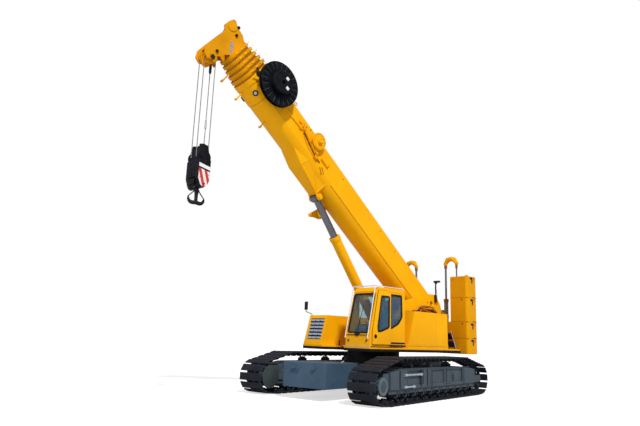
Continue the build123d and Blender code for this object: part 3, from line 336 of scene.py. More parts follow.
finish = {
    "yellow": yellowPaint(), "deckYellow": yellowPaint("deckPaint", 1.485), "cast": castPaint(),
    "slab": castPaint("slabPaint", (0.76, 0.35, 0.002), (0.64, 0.27, 0.0015)),
    "section": castPaint("sectionPaint", (0.78, 0.35, 0.002), (0.52, 0.195, 0.0015)),
    "dark": darkPaint("machineBlack", (0.011, 0.013, 0.017), 0.12),
    "frameGrey": darkPaint("frameGrey", (0.05, 0.072, 0.094), 0.14, 0.45, (0.15, 0.18, 0.21)),
    "ballastGrey": darkPaint("ballastGrey", (0.044, 0.086, 0.135), 0.1, 0.42, (0.14, 0.19, 0.24)),
    "hookBlack": darkPaint("hookBlack", (0.005, 0.006, 0.01), 0.05, 0.4, (0.05, 0.055, 0.07)),
    "rimGrey": darkPaint("rimGrey", (0.1, 0.135, 0.155), 0.1, 0.45, (0.26, 0.3, 0.33)),
    "discGreen": darkPaint("discGreen", (0.035, 0.05, 0.052), 0.1, 0.5, (0.09, 0.11, 0.11)),
    "paleStrip": darkPaint("paleStrip", (0.42, 0.46, 0.47), 0.2, 0.4, (0.6, 0.62, 0.62)),
    "whitePlate": darkPaint("whitePlate", (0.7, 0.72, 0.74), 0.12, 0.4, (0.8, 0.8, 0.8)),
    "seam": darkPaint("seamShade", (0.19, 0.085, 0.006), 0.15, 0.5, (0.5, 0.26, 0.03)),
    "rustBrown": darkPaint("rustBrown", (0.23, 0.095, 0.018), 0.2, 0.5, (0.42, 0.24, 0.08)),
    "orange": darkPaint("orangeEye", (0.62, 0.2, 0.012), 0.1, 0.35, (0.8, 0.4, 0.08)), "track": trackSteel(),
    "forged": trackSteel("forgedSteel", (0.012, 0.014, 0.015), (0.09, 0.095, 0.1)),
    "bright": bareMetal("slatSteel", (0.58, 0.67, 0.82), 0.36, (1, 0.1, 1), 90, 0.04, 0.6),
    "zinc": bareMetal("zincSteel", (0.55, 0.57, 0.6), 0.38),
    "silver": bareMetal("railSilver", (0.86, 0.87, 0.88), 0.42, metal=0.25),
    "rodSilver": bareMetal("rodSilver", (0.5, 0.58, 0.66), 0.4, metal=0.4),
    "bronze": bareMetal("bronzeFace", (0.48, 0.3, 0.13), 0.36), "chrome": rodChrome(), "glass": tintedGlass(),
    "rubber": rubber(), "plastic": rubber("cabPlastic", (0.02, 0.021, 0.023), 0.5, 120),
    "cabGrey": rubber("cabGrey", (0.2, 0.205, 0.21), 0.6, 140), "rope": strandedRope(),
    "stripes": warningStripes(), "reel": reelPlastic(), "arm": armPaint(),
}
nodeFinish = {
    "carbody": "dark", "slewing_ring": "track", "carbody_ballast": "ballastGrey", "track": "track",
    "track_frame": "frameGrey", "track_wheels": "frameGrey", "final_drive": "frameGrey",
    "deck_frame": "deckYellow",
    "engine_hood": "yellow", "hood_grille": "bright", "engine_block": "forged", "side_locker": "yellow",
    "counterweight_base": "slab", "counterweight_slabs": "slab", "ballast_arms": "arm",
    "upper_fittings": "dark",
    "main_winch": "dark", "auxiliary_winch": "dark", "cab_shell": "yellow", "cab_glass": "glass",
    "cab_door": "yellow", "cab_door_glass": "glass", "cab_interior": "cabGrey", "cab_handrails": "silver",
    "boom_base": "yellow", "boom_fittings": "yellow", "cable_reel": "reel", "boom_section_1": "section",
    "boom_section_2": "section", "boom_section_3": "section", "boom_section_4": "section",
    "boom_section_5": "section",
    "boom_head": "section", "head_sheaves": "cast", "luffing_barrel": "yellow", "luffing_rod": "chrome",
    "hoist_ropes": "rope", "hook_block": "hookBlack", "block_sheaves": "track", "crane_hook": "forged",
}
for name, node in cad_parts.items():
    base = name.replace("_left", "").replace("_right", "")
    node.data.materials.clear()
    node.data.materials.append(finish[nodeFinish[base]])
print("finishes made")


# mesh helpers: each adds to a bmesh and gives back its new corners
def addBlock(shape, low, high):
    made = bmesh.ops.create_cube(shape, size=1)["verts"]
    bmesh.ops.scale(shape, vec=[b - a for a, b in zip(low, high)], verts=made)
    bmesh.ops.translate(shape, vec=[(a + b) / 2 for a, b in zip(low, high)], verts=made)
    return made


def alongMatrix(start, end):
    start, end = Vector(start), Vector(end)
    way = end - start
    turn = way.to_track_quat("Z", "Y").to_matrix().to_4x4()
    return Matrix.Translation((start + end) / 2) @ turn, way.length


def addBar(shape, start, end, radius, farRadius=None, sides=24):
    matrix, length = alongMatrix(start, end)
    return bmesh.ops.create_cone(shape, cap_ends=True, segments=sides, radius1=radius,
                                 radius2=radius if farRadius is None else farRadius, depth=length,
                                 matrix=matrix)["verts"]


def addBall(shape, centre, radius):
    return bmesh.ops.create_uvsphere(shape, u_segments=16, v_segments=10, radius=radius,
                                     matrix=Matrix.Translation(centre))["verts"]


def spinRound(shape, profile, edges, centre, axis, steps):
    # spins a profile in the XZ plane once round Z, then seats it on an axis
    turn = Vector(axis).normalized().to_track_quat("Z", "Y").to_matrix().to_4x4()
    before = set(shape.verts) - set(profile)
    bmesh.ops.spin(shape, geom=profile + edges, cent=(0, 0, 0), axis=(0, 0, 1), angle=2 * math.pi,
                   steps=steps, use_merge=True)
    made = [corner for corner in shape.verts if corner not in before]
    bmesh.ops.remove_doubles(shape, verts=made, dist=0.0001)
    made = [corner for corner in shape.verts if corner not in before]
    bmesh.ops.transform(shape, matrix=Matrix.Translation(centre) @ turn, verts=made)
    return made


def addRing(shape, centre, axis, radius, thickness, sides=40, tubeSides=12):
    upright = Matrix.Translation((radius, 0, 0)) @ Matrix.Rotation(math.pi / 2, 4, "X")
    loop = bmesh.ops.create_circle(shape, segments=tubeSides, radius=thickness, matrix=upright)["verts"]
    edges = list({edge for corner in loop for edge in corner.link_edges})
    return spinRound(shape, loop, edges, centre, axis, sides)


def addProfile(shape, profile, centre, axis, sides=40):
    # a turned part: points of (radius, height) spun round the axis
    line = [shape.verts.new((radius, 0, height)) for radius, height in profile]
    edges = [shape.edges.new(pair) for pair in zip(line, line[1:] + line[:1])]
    return spinRound(shape, line, edges, centre, axis, sides)


# how a flat outline's two axes and its thickness lie in space
seats = {"XZ": lambda u, v, w: (u, w, v), "XY": lambda u, v, w: (u, v, w), "YZ": lambda u, v, w: (w, u, v)}


def addPlate(shape, outline, low, high, flat="XZ"):
    # an outline in two axes, thickened along the third
    seat = seats[flat]
    corners = [shape.verts.new(seat(u, v, low)) for u, v in outline]
    face = shape.faces.new(corners)
    grown = bmesh.ops.extrude_face_region(shape, geom=[face])["geom"]
    fresh = [item for item in grown if isinstance(item, bmesh.types.BMVert)]
    bmesh.ops.translate(shape, vec=Vector(seat(0, 0, high - low)), verts=fresh)
    return corners + fresh


def soften(shape, width, segments=2, limit=30):
    sharp = [edge for edge in shape.edges
             if len(edge.link_faces) == 2 and edge.calc_face_angle(0) > math.radians(limit)]
    bmesh.ops.bevel(shape, geom=sharp, offset=width, offset_type="OFFSET", segments=segments, profile=0.5,
                    affect="EDGES", clamp_overlap=True, material=-1)


def finishPiece(name, shape, look, body, matrix=None, smooth=35):
    if matrix is not None:
        bmesh.ops.transform(shape, matrix=matrix, verts=shape.verts[:])
    bmesh.ops.recalc_face_normals(shape, faces=shape.faces[:])
    mesh = bpy.data.meshes.new(name)
    shape.to_mesh(mesh)
    shape.free()
    mesh.materials.append(finish[look])
    mesh.polygons.foreach_set("use_smooth", [True] * len(mesh.polygons))
    mesh.set_sharp_from_angle(angle=math.radians(smooth))
    piece = bpy.data.objects.new(name, mesh)
    bpy.context.scene.collection.objects.link(piece)
    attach(piece, body)
    return piece


def tubePiece(name, points, radius, look, body, matrix=None):
    # a rope, hose or pipe along a smooth line, made a mesh
    curve = bpy.data.curves.new(name, "CURVE")
    curve.dimensions = "3D"
    curve.bevel_depth = radius
    curve.bevel_resolution = 3
    curve.use_fill_caps = True
    line = curve.splines.new("NURBS")
    line.points.add(len(points) - 1)
    for corner, point in zip(line.points, points):
        corner.co = (*point, 1)
    line.order_u = 3
    line.use_endpoint_u = True
    line.resolution_u = 8
    holder = bpy.data.objects.new(name + "Line", curve)
    bpy.context.scene.collection.objects.link(holder)
    mesh = bpy.data.meshes.new_from_object(holder.evaluated_get(bpy.context.evaluated_depsgraph_get()))
    bpy.data.objects.remove(holder)
    shape = bmesh.new()
    shape.from_mesh(mesh)
    bpy.data.meshes.remove(mesh)
    bmesh.ops.remove_doubles(shape, verts=shape.verts[:], dist=0.0001)
    return finishPiece(name, shape, look, body, matrix, 60)


def addBolt(shape, seat, way, size=0.02, height=0.014):
    sunk = 0.002
    seat = Vector(seat)
    way = Vector(way).normalized()
    return addBar(shape, seat - way * sunk, seat + way * height, size, sides=6)


def addBoltRing(shape, centre, radius, count, way, size, height, start=0.0):
    # bolts on a circle round an axis along Y, or else along Z
    for index in range(count):
        turn = 2 * math.pi * index / count + start
        across, up = radius * math.cos(turn), radius * math.sin(turn)
        seat = Vector(centre) + Vector((across, 0, up) if way[1] else (across, up, 0))
        addBolt(shape, seat, way, size, height)


def addPin(shape, spot, near, far, radius, sides=18):
    # a round bar along Y at (x, z)
    return addBar(shape, (spot[0], near, spot[1]), (spot[0], far, spot[1]), radius, sides=sides)


def addBlocks(shape, pairs):
    for low, high in pairs:
        addBlock(shape, low, high)


def span(side, near, far):
    # two distances from the middle plane, on one side of it, in rising order
    return sorted((side * near, side * far))


def addSweep(shape, points, radii, sides=14):
    # rings of changing radius along a line
    rings = []
    count = len(points)
    for index, (point, radius) in enumerate(zip(points, radii)):
        before, after = Vector(points[max(index - 1, 0)]), Vector(points[min(index + 1, count - 1)])
        turn = (after - before).to_track_quat("Z", "Y").to_matrix()
        angles = [2 * math.pi * side / sides for side in range(sides)]
        around = [Vector((radius * math.cos(a), radius * math.sin(a), 0)) for a in angles]
        rings.append([shape.verts.new(Vector(point) + turn @ reach) for reach in around])
    for first, second in zip(rings, rings[1:]):
        for side in range(sides):
            after = (side + 1) % sides
            shape.faces.new((first[side], first[after], second[after], second[side]))
    shape.faces.new(rings[0])
    shape.faces.new(rings[-1])


# outlines
def offsetLine(outline, amount):
    # moves each side of a closed outline outwards by an amount
    turn = sum(a[0] * b[1] - b[0] * a[1] for a, b in zip(outline, outline[1:] + outline[:1]))
    sign = 1 if turn > 0 else -1
    moved = []
    count = len(outline)
    for index, corner in enumerate(outline):
        before, after = outline[index - 1], outline[(index + 1) % count]
        first = Vector((corner[0] - before[0], corner[1] - before[1])).normalized()
        second = Vector((after[0] - corner[0], after[1] - corner[1])).normalized()
        out = Vector((first.y + second.y, -first.x - second.x)) * sign
        out.normalize()
        cosine = max(0.35, out.dot(Vector((first.y, -first.x)) * sign))
        moved.append((corner[0] + out.x * amount / cosine, corner[1] + out.y * amount / cosine))
    return moved


def roundLine(outline, radius, steps=4):
    # rounds each corner of a closed outline
    rounded = []
    count = len(outline)
    for index, corner in enumerate(outline):
        here = Vector(corner)
        before, after = Vector(outline[index - 1]) - here, Vector(outline[(index + 1) % count]) - here
        reach = min(radius, before.length * 0.45, after.length * 0.45)
        start, end = here + before.normalized() * reach, here + after.normalized() * reach
        for step in range(steps + 1):
            share = step / steps
            point = start * (1 - share) ** 2 + here * 2 * share * (1 - share) + end * share ** 2
            rounded.append(tuple(point))
    return rounded


def addRim(shape, outer, inner, low, high, flat="XZ"):
    # a closed band between two outlines with equal counts of corners
    seat = seats[flat]
    loops = [[shape.verts.new(seat(u, v, w)) for u, v in line]
             for line, w in ((outer, low), (outer, high), (inner, high), (inner, low))]
    count = len(outer)
    for one, other in zip(loops, loops[1:] + loops[:1]):
        for index in range(count):
            after = (index + 1) % count
            shape.faces.new((one[index], one[after], other[after], other[index]))
    return [corner for loop in loops for corner in loop]


def leaningMatrix(origin, way):
    # local X is the frame's Y, local Y runs up the leaning face, local Z leaves it
    up = Vector(way).normalized()
    side = Vector((0, 1, 0))
    matrix = Matrix((side, up, side.cross(up))).transposed().to_4x4()
    matrix.translation = origin
    return matrix


# cab trim, on the cab's left side and front
cab = {
    "skin": 1.448, "outer": 1.49, "front": 1.83,
    "screenFoot": (1.81, 0.0, 1.89), "screenWay": (-0.324, 0.0, 1.32),
    "screen": [(0.5, 0.055), (1.398, 0.055), (1.398, 1.345), (0.5, 1.345)],
    "screenCover": [(0.8, 0.062), (1.06, 0.062), (0.985, -0.035), (0.875, -0.035)],
    "doorWindow": [(0.93, 2.14), (1.29, 2.02), (1.48, 1.99), (1.5, 2.15), (1.33, 3.12), (0.93, 3.12)],
    "sideWindow": [(0.84, 3.2), (0.26, 3.2), (0.23, 2.5), (0.42, 2.26), (0.84, 2.08)],
    "doorLine": [(0.86, 1.62), (1.7, 1.62), (1.7, 1.98), (1.43, 3.28), (0.86, 3.28)],
    "gasket": 0.044, "gasketProud": 0.012, "doorRoom": 0.0025,
}
screenMatrix = leaningMatrix(cab["screenFoot"], cab["screenWay"])


def makeCabSeals():
    shape = bmesh.new()
    door = roundLine(offsetLine(cab["doorWindow"], 0.006), 0.07)
    addRim(shape, door, offsetLine(door, -cab["gasket"]), cab["outer"] - 0.012,
           cab["outer"] + cab["gasketProud"])
    finishPiece("door_seal", shape, "rubber", "cab_door")
    shape = bmesh.new()
    side = roundLine(offsetLine(cab["sideWindow"], 0.004), 0.1)
    addRim(shape, side, offsetLine(side, -cab["gasket"] * 1.3), cab["skin"] - 0.014,
           cab["skin"] + cab["doorRoom"])
    # the screen's seal and the cover at its foot, drawn flat and then leaned
    start = len(shape.verts)
    screen = roundLine(cab["screen"], 0.09)
    addRim(shape, screen, offsetLine(screen, -0.042), -0.02, 0.012, "XY")
    addPlate(shape, cab["screenCover"], 0.0, 0.016, "XY")
    shape.verts.ensure_lookup_table()
    bmesh.ops.transform(shape, matrix=screenMatrix, verts=shape.verts[start:])
    finishPiece("window_seals", shape, "rubber", "cab")


def makeWiper():
    wiper = {"shaft": (0.93, 0.02), "elbow": (0.955, 0.5), "heel": (0.966, 0.59),
             "blade": ((0.945, 0.2), (0.985, 0.98)), "armRise": 0.03, "bladeRise": 0.018}
    shape = bmesh.new()
    addBar(shape, (*wiper["shaft"], 0.0), (*wiper["shaft"], 0.04), 0.022, sides=16)
    addBar(shape, (*wiper["shaft"], 0.034), (*wiper["elbow"], wiper["armRise"]), 0.009, 0.006, 10)
    low, high = ((*end, wiper["bladeRise"]) for end in wiper["blade"])
    addBar(shape, low, high, 0.008, sides=8)
    addBar(shape, (*wiper["elbow"], wiper["armRise"]), (*wiper["heel"], wiper["bladeRise"]), 0.007, sides=8)
    finishPiece("wiper", shape, "plastic", "cab", screenMatrix)


def makeCabFront():
    front = {
        "lamps": ((0.575, 0.03), (1.33, 0.026)), "lampX": 1.823, "lampZ": 1.72,
        "sillBar": ((1.805, 0.5, 1.885), (1.828, 1.4, 1.905)),
        "grip": ((1.8, 1.395, 1.74), (1.83, 1.395, 1.86)), "gripRadius": 0.012,
        "strips": (((1.81, 0.36, 1.532), (1.865, 1.488, 1.556)), ((0.0, 1.47, 1.5), (1.865, 1.496, 1.53))),
        "gutter": [(0.13, 0.47), (1.36, 0.47), (1.36, 1.43), (0.13, 1.43)], "gutterWide": 0.04,
        "gutterRise": (3.366, 3.384),
    }
    shape = bmesh.new()
    for across, radius in front["lamps"]:
        addProfile(shape, [(0.001, -0.01), (radius, -0.01), (radius, 0.014), (radius * 0.8, 0.02),
                           (0.001, 0.012)],
                   (front["lampX"], across, front["lampZ"]), (1, 0, 0.06), 20)
    addBlock(shape, *front["sillBar"])
    finishPiece("front_lamps", shape, "plastic", "cab")
    shape = bmesh.new()
    addBar(shape, *front["grip"], front["gripRadius"], sides=14)
    for end in front["grip"]:
        addBall(shape, end, front["gripRadius"])
    soften(shape, 0.001, 1)
    finishPiece("front_grip", shape, "zinc", "cab")
    # the pale strips stay on the deck when the cab tilts
    shape = bmesh.new()
    addBlocks(shape, front["strips"])
    soften(shape, 0.004, 2)
    finishPiece("sill_strip", shape, "paleStrip", "superstructure")
    shape = bmesh.new()
    inner = offsetLine(front["gutter"], -front["gutterWide"])
    addRim(shape, roundLine(front["gutter"], 0.08), roundLine(inner, 0.06), *front["gutterRise"], "XY")
    finishPiece("roof_gutter", shape, "yellow", "cab")


def makeDoorParts():
    door = {
        "handle": (1.585, 1.86), "handleRadius": 0.062, "gap": (0.01, -0.004),
        "pocketX": (0.11, 0.852), "pocketLow": (1.562, 1.612), "pocketHigh": (1.645, 1.7),
        "visor": (((1.12, 1.452, 2.985), (1.335, 1.464, 3.1)), ((1.17, 1.44, 2.955), (1.3, 1.456, 2.99))),
    }
    x, z = door["handle"]
    radius, skin, face = door["handleRadius"], cab["skin"], cab["outer"]
    shape = bmesh.new()
    addProfile(shape, [(0.001, -0.004), (radius, -0.004), (radius, 0.01), (radius * 0.82, 0.016),
                       (radius * 0.7, 0.006), (0.001, 0.006)], (x, face, z), (0, 1, 0), 32)
    addBlock(shape, (x - 0.03, face, z - 0.012), (x + 0.038, face + 0.026, z + 0.014))
    finishPiece("door_handle", shape, "plastic", "cab_door")
    # the dark step pocket is two strips, below the door's rail and behind it
    shape = bmesh.new()
    near, far = door["pocketX"]
    for (low, high), proud in ((door["pocketLow"], face + 0.004),
                               (door["pocketHigh"], skin + cab["doorRoom"])):
        addBlock(shape, (near, skin - 0.004, low), (far, proud, high))
    soften(shape, 0.001, 1)
    finishPiece("step_pocket", shape, "plastic", "cab")
    shape = bmesh.new()
    outer, inner = (offsetLine(cab["doorLine"], amount) for amount in door["gap"])
    addRim(shape, outer, inner, skin + 0.001, skin + 0.01)
    finishPiece("door_gap", shape, "rubber", "cab")
    shape = bmesh.new()
    addBlocks(shape, door["visor"])
    soften(shape, 0.006, 2)
    finishPiece("door_visor", shape, "plastic", "cab_door")


makeCabSeals()
makeWiper()
makeCabFront()
makeDoorParts()
print("cab trim made")


# boom: everything here is drawn with X along the boom, Y across it and Z away from its top
boom = {
    "half": 0.42, "top": 0.39, "low": -0.66, "belly": 0.29, "front": 10.8, "step": 0.024, "pitch": 0.165,
    "sections": 5, "collar": 0.042, "baseCollar": 0.022, "patch": (10.08, 10.618), "patchProud": 0.014,
    "badge": (10.363, 0.31), "seam": (0.62, 10.6), "groove": (0.62, 6.55), "sideSeams": (2.85, 4.85, 9.45),
}
shoulder = boom["low"] + boom["belly"]
bellyRadius = (boom["half"] ** 2 + boom["belly"] ** 2) / (2 * boom["belly"])


def boomOutline(grow, steps=18):
    # the cross section as corners of (y, n), grown outwards
    half, top, low, rise = boom["half"] + grow, boom["top"] + grow, boom["low"] - grow, boom["belly"]
    radius = (half * half + rise * rise) / (2 * rise)
    spread = math.asin(half / radius)
    line = [(half, top), (half, low + rise)]
    for step in range(1, steps):
        turn = spread * (1 - 2 * step / steps)
        line.append((radius * math.sin(turn), low + radius - radius * math.cos(turn)))
    return line + [(-half, low + rise), (-half, top)]


def bellyPoint(turn, grow=0.0):
    # a place on the belly's arc and the way out of it, as (y, n) pairs
    out = (math.sin(turn), -math.cos(turn))
    reach = bellyRadius + grow
    return (out[0] * reach, boom["low"] + bellyRadius + out[1] * reach), out


def carrier(index):
    return f"section_{index}" if index else "boom"


def makeGapShadeRings():
    # the dark lip at each front edge, round the next section: black wear pads and painted shade of the gap
    # between the sections
    lip = {"outer": 0.018, "inner": 0.007, "along": (0.0006, 0.009)}
    for index in range(boom["sections"]):
        shape = bmesh.new()
        front = boom["front"] + index * boom["pitch"]
        inset = (index + 1) * boom["step"]
        addRim(shape, boomOutline(lip["outer"] - inset), boomOutline(lip["inner"] - inset),
               front + lip["along"][0], front + lip["along"][1], "YZ")
        finishPiece(f"gap_shade_ring_{index}", shape, "rubber", carrier(index), boomMatrix)


def makeCollarTrim():
    # bolted pad plates on each collar's sides and top, and the rope guide's ears
    pad = {"long": 0.046, "wide": 0.13, "thick": 0.01, "heights": (0.27, 0.02, -0.24),
           "across": (0.17, -0.17), "back": 0.052, "bolt": 0.4, "earApart": 1.75, "earHigh": 0.13}
    for index in range(boom["sections"] + 1):
        end = boom["front"] + index * boom["pitch"]
        grow = (boom["collar"] if index else boom["baseCollar"]) - index * boom["step"]
        half, top = boom["half"] + grow, boom["top"] + grow
        rear, front = end - pad["back"] - pad["long"] / 2, end - pad["back"] + pad["long"] / 2
        reach = pad["wide"] / 2
        shape = bmesh.new()
        for side in (1, -1):
            inner, outer = span(side, half, half + pad["thick"])
            for height in pad["heights"]:
                addBlock(shape, (rear, inner, height - reach), (front, outer, height + reach))
                for rise in (-pad["bolt"], pad["bolt"]):
                    seat = (end - pad["back"], side * (half + pad["thick"]), height + pad["wide"] * rise)
                    addBolt(shape, seat, (0, side, 0), 0.012, 0.009)
        for across in pad["across"]:
            ear = across * pad["earApart"]
            addBlock(shape, (rear, across - reach, top), (front, across + reach, top + pad["thick"]))
            addBlock(shape, (end - 0.056, ear - 0.008, top), (end - 0.046, ear + 0.008, top + pad["earHigh"]))
            addBar(shape, (end - 0.051, ear, top + 0.12), (end - 0.02, ear, top + 0.19), 0.006, sides=8)
        finishPiece(f"collar_pads_{index}", shape, "yellow", carrier(index), boomMatrix)


def makeBellyPatch():
    # the doubler plate round the belly behind the base collar, with its round badge on each side
    start, end = boom["patch"]
    proud, sunk, spread, steps, seamRadius = boom["patchProud"], 0.0005, math.radians(69), 22, 0.006
    turns = [spread * (1 - 2 * step / steps) for step in range(steps + 1)]
    shape = bmesh.new()
    rows = [[shape.verts.new((s, *bellyPoint(turn, grow)[0]))
             for s, grow in ((start, sunk), (start, proud), (end, proud), (end, sunk))] for turn in turns]
    for first, second in zip(rows, rows[1:]):
        for index in range(4):
            after = (index + 1) % 4
            shape.faces.new((first[index], first[after], second[after], second[index]))
    shape.faces.new(rows[0])
    shape.faces.new(rows[-1])
    finishPiece("belly_patch", shape, "yellow", "boom", boomMatrix)
    shape = bmesh.new()
    arc = [bellyPoint(turn, proud * 0.6)[0] for turn in turns]
    for s in (start - 0.004, end + 0.004):
        addSweep(shape, [(s, y, n) for y, n in arc], [seamRadius] * len(arc), 6)
    for y, n in (arc[0], arc[-1]):
        addBar(shape, (start, y, n), (end, y, n), seamRadius, sides=6)
    finishPiece("patch_seam", shape, "seam", "boom", boomMatrix)
    s, across = boom["badge"]
    turn = math.asin(across / 0.449)
    ring = [(0.052, 0.0), (0.088, 0.0), (0.088, 0.02), (0.078, 0.03), (0.06, 0.03), (0.052, 0.022)]
    centre = [(0.001, 0.004), (0.052, 0.004), (0.052, 0.02), (0.034, 0.028), (0.001, 0.028)]
    for name, look, profile in (("badge_ring", "rubber", ring), ("badge_centre", "paleStrip", centre)):
        shape = bmesh.new()
        for side in (1, -1):
            (y, n), out = bellyPoint(turn * side, proud - 0.002)
            addProfile(shape, profile, (s, y, n), (0, *out), 32)
        finishPiece(name, shape, look, "boom", boomMatrix)


def makeBoomSeams():
    # weld beads along the shoulders, the top edges and the sides' joints, and a dark strip under each
    # shoulder that is a painted shadow of the step
    half, top = boom["half"], boom["top"]
    shape = bmesh.new()
    for side in (1, -1):
        for y, n, radius in ((half - 0.001, shoulder + 0.004, 0.005), (half - 0.006, top - 0.002, 0.007)):
            start, end = ((s, side * y, n) for s in boom["seam"])
            addBar(shape, start, end, radius, sides=8)
        for s in boom["sideSeams"]:
            y = side * (half + 0.0005)
            addBar(shape, (s, y, top - 0.01), (s, y, shoulder), 0.004, sides=6)
    finishPiece("weld_beads", shape, "yellow", "boom", boomMatrix)
    # dark strips along the shoulders: painted shadow of the step between the side and the belly
    shape = bmesh.new()
    start, end = boom["groove"]
    for side in (1, -1):
        inner, outer = span(side, half - 0.004, half + 0.0012)
        addBlock(shape, (start, inner, shoulder - 0.016), (end, outer, shoulder - 0.005))
    finishPiece("shoulder_line", shape, "seam", "boom", boomMatrix)


def makeSaddleTrim():
    # edge beads of the saddle under the boom, and its grease lines
    edge = {"rear": (6.66, 0.17, -0.85), "shoulder": (7.65, 0.424, -0.3), "knee": (7.78, 0.29, -0.74),
            "nose": (8.33, 0.29, -0.56)}
    beads = (("rear", "shoulder", 0.012), ("rear", "knee", 0.01), ("knee", "shoulder", 0.01),
             ("knee", "nose", 0.01), ("shoulder", "nose", 0.008))
    shape = bmesh.new()
    for side in (1, -1):
        at = {key: (s, side * y, n) for key, (s, y, n) in edge.items()}
        for start, end, radius in beads:
            addBar(shape, at[start], at[end], radius, sides=10)
            addBall(shape, at[end], radius)
    finishPiece("saddle_beads", shape, "yellow", "boom", boomMatrix)
    shape = bmesh.new()
    for s, n in ((6.98, -0.35), (7.05, -0.42)):
        addBar(shape, (s, 0.418, n), (s + 0.22, 0.436, n + 0.12), 0.01, sides=8)
    finishPiece("grease_lines", shape, "seam", "boom", boomMatrix)


def makeUnderBracket():
    # the forked rest that hangs from the belly's right side behind the rod
    rest = {"y": (-0.3, -0.27), "foot": 5.88, "footN": -0.54, "tip": (6.17, -1.22), "eye": (5.8, -1.01)}
    low, high = rest["y"]
    s, n = rest["tip"]
    shape = bmesh.new()
    addPlate(shape, [(rest["foot"] - 0.1, rest["footN"]), (rest["foot"] + 0.06, rest["footN"]),
                     (s - 0.02, n + 0.14),
                     (s + 0.06, n - 0.05), (s - 0.02, n - 0.1), (s - 0.16, n + 0.03), (5.8, -1.06),
                     (5.76, -0.98)],
             low, high)
    addPin(shape, rest["eye"], low - 0.04, high + 0.06, 0.035, 16)
    addPin(shape, rest["tip"], low - 0.05, high + 0.05, 0.03, 16)
    soften(shape, 0.004, 1)
    finishPiece("rod_rest", shape, "yellow", "boom", boomMatrix)


def makeJibPivot():
    # the stowing pivot for the jib on the left side: cap, bolts and its foot plate
    pivot = {"place": (7.885, 0.225), "face": 0.6305, "boltFace": 0.5705, "boltCircle": 0.215,
             "plate": (0.4203, 0.5)}
    s, n = pivot["place"]
    shape = bmesh.new()
    addProfile(shape, [(0.001, 0.0), (0.085, 0.0), (0.085, 0.022), (0.06, 0.034), (0.05, 0.018),
                       (0.001, 0.018)],
               (s, pivot["face"], n), (0, 1, 0), 32)
    addBoltRing(shape, (s, pivot["boltFace"], n), pivot["boltCircle"], 10, (0, 1, 0), 0.017, 0.014)
    addPlate(shape, [(s - 0.3, n - 0.34), (s + 0.02, n - 0.34), (s + 0.2, n - 0.2), (s - 0.1, n - 0.12)],
             *pivot["plate"])
    soften(shape, 0.003, 1)
    finishPiece("jib_pivot", shape, "yellow", "boom", boomMatrix)
    # the lock beside it, with its small cylinder
    lock = {"skin": 0.4205, "y": 0.46}
    shape = bmesh.new()
    addProfile(shape, [(0.232, 0.0), (0.245, 0.0), (0.245, 0.004), (0.232, 0.004)],
               (s, pivot["boltFace"] + 0.0001, n), (0, 1, 0), 40)
    addBar(shape, (s + 0.62, lock["y"], n - 0.14), (s + 0.18, lock["y"], n - 0.27), 0.04, sides=18)
    addBar(shape, (s + 0.2, lock["y"], n - 0.26), (s - 0.28, lock["y"], n - 0.42), 0.022, sides=14)
    addBlock(shape, (s - 0.36, lock["skin"], n - 0.5), (s - 0.22, 0.5, n - 0.38))
    addPin(shape, (s + 0.62, n - 0.14), lock["skin"], 0.51, 0.06, 20)
    addBlock(shape, (s + 0.7, lock["skin"], n - 0.26), (s + 0.78, 0.47, n + 0.02))
    soften(shape, 0.004, 1)
    finishPiece("jib_lock", shape, "cast", "boom", boomMatrix)


def makeReelGuide():
    # the two arms between reel and jib pivot, the lock's hose, and the bolts along the side
    guide = {"skin": 0.415, "y": 0.445, "rear": (8.44, 0.04), "front": (9.4, -0.05), "upper": (8.775, 0.178),
             "upperRear": (8.3, 0.1)}
    hose = [(8.545, 0.44, 0.065), (8.325, 0.5, -0.075), (7.985, 0.49, -0.175), (7.625, 0.48, -0.235),
            (7.365, 0.44, -0.195)]
    shape = bmesh.new()
    for start, end, radius in (("front", "rear", 0.022), ("upper", "upperRear", 0.02)):
        (s, n), (endS, endN) = guide[start], guide[end]
        addBar(shape, (s, guide["y"], n), (endS, guide["y"], endN), radius, sides=14)
    for spot, far, radius in (("front", 0.47, 0.04), ("rear", 0.47, 0.055), ("upper", 0.462, 0.05)):
        addPin(shape, guide[spot], guide["skin"], far, radius)
    soften(shape, 0.004, 1)
    finishPiece("reel_guide", shape, "yellow", "boom", boomMatrix)
    tubePiece("jib_hose", hose, 0.014, "rubber", "boom", boomMatrix)
    shape = bmesh.new()
    for s, n, size, height in ((2.9, 0.235, 0.016, 0.012), (3.9, 0.235, 0.016, 0.012),
                               (6.3, 0.235, 0.016, 0.012),
                               (8.31, 0.33, 0.02, 0.014), (8.47, 0.26, 0.02, 0.014)):
        addBolt(shape, (s, boom["half"], n), (0, 1, 0), size, height)
    finishPiece("side_bolts", shape, "forged", "boom", boomMatrix)


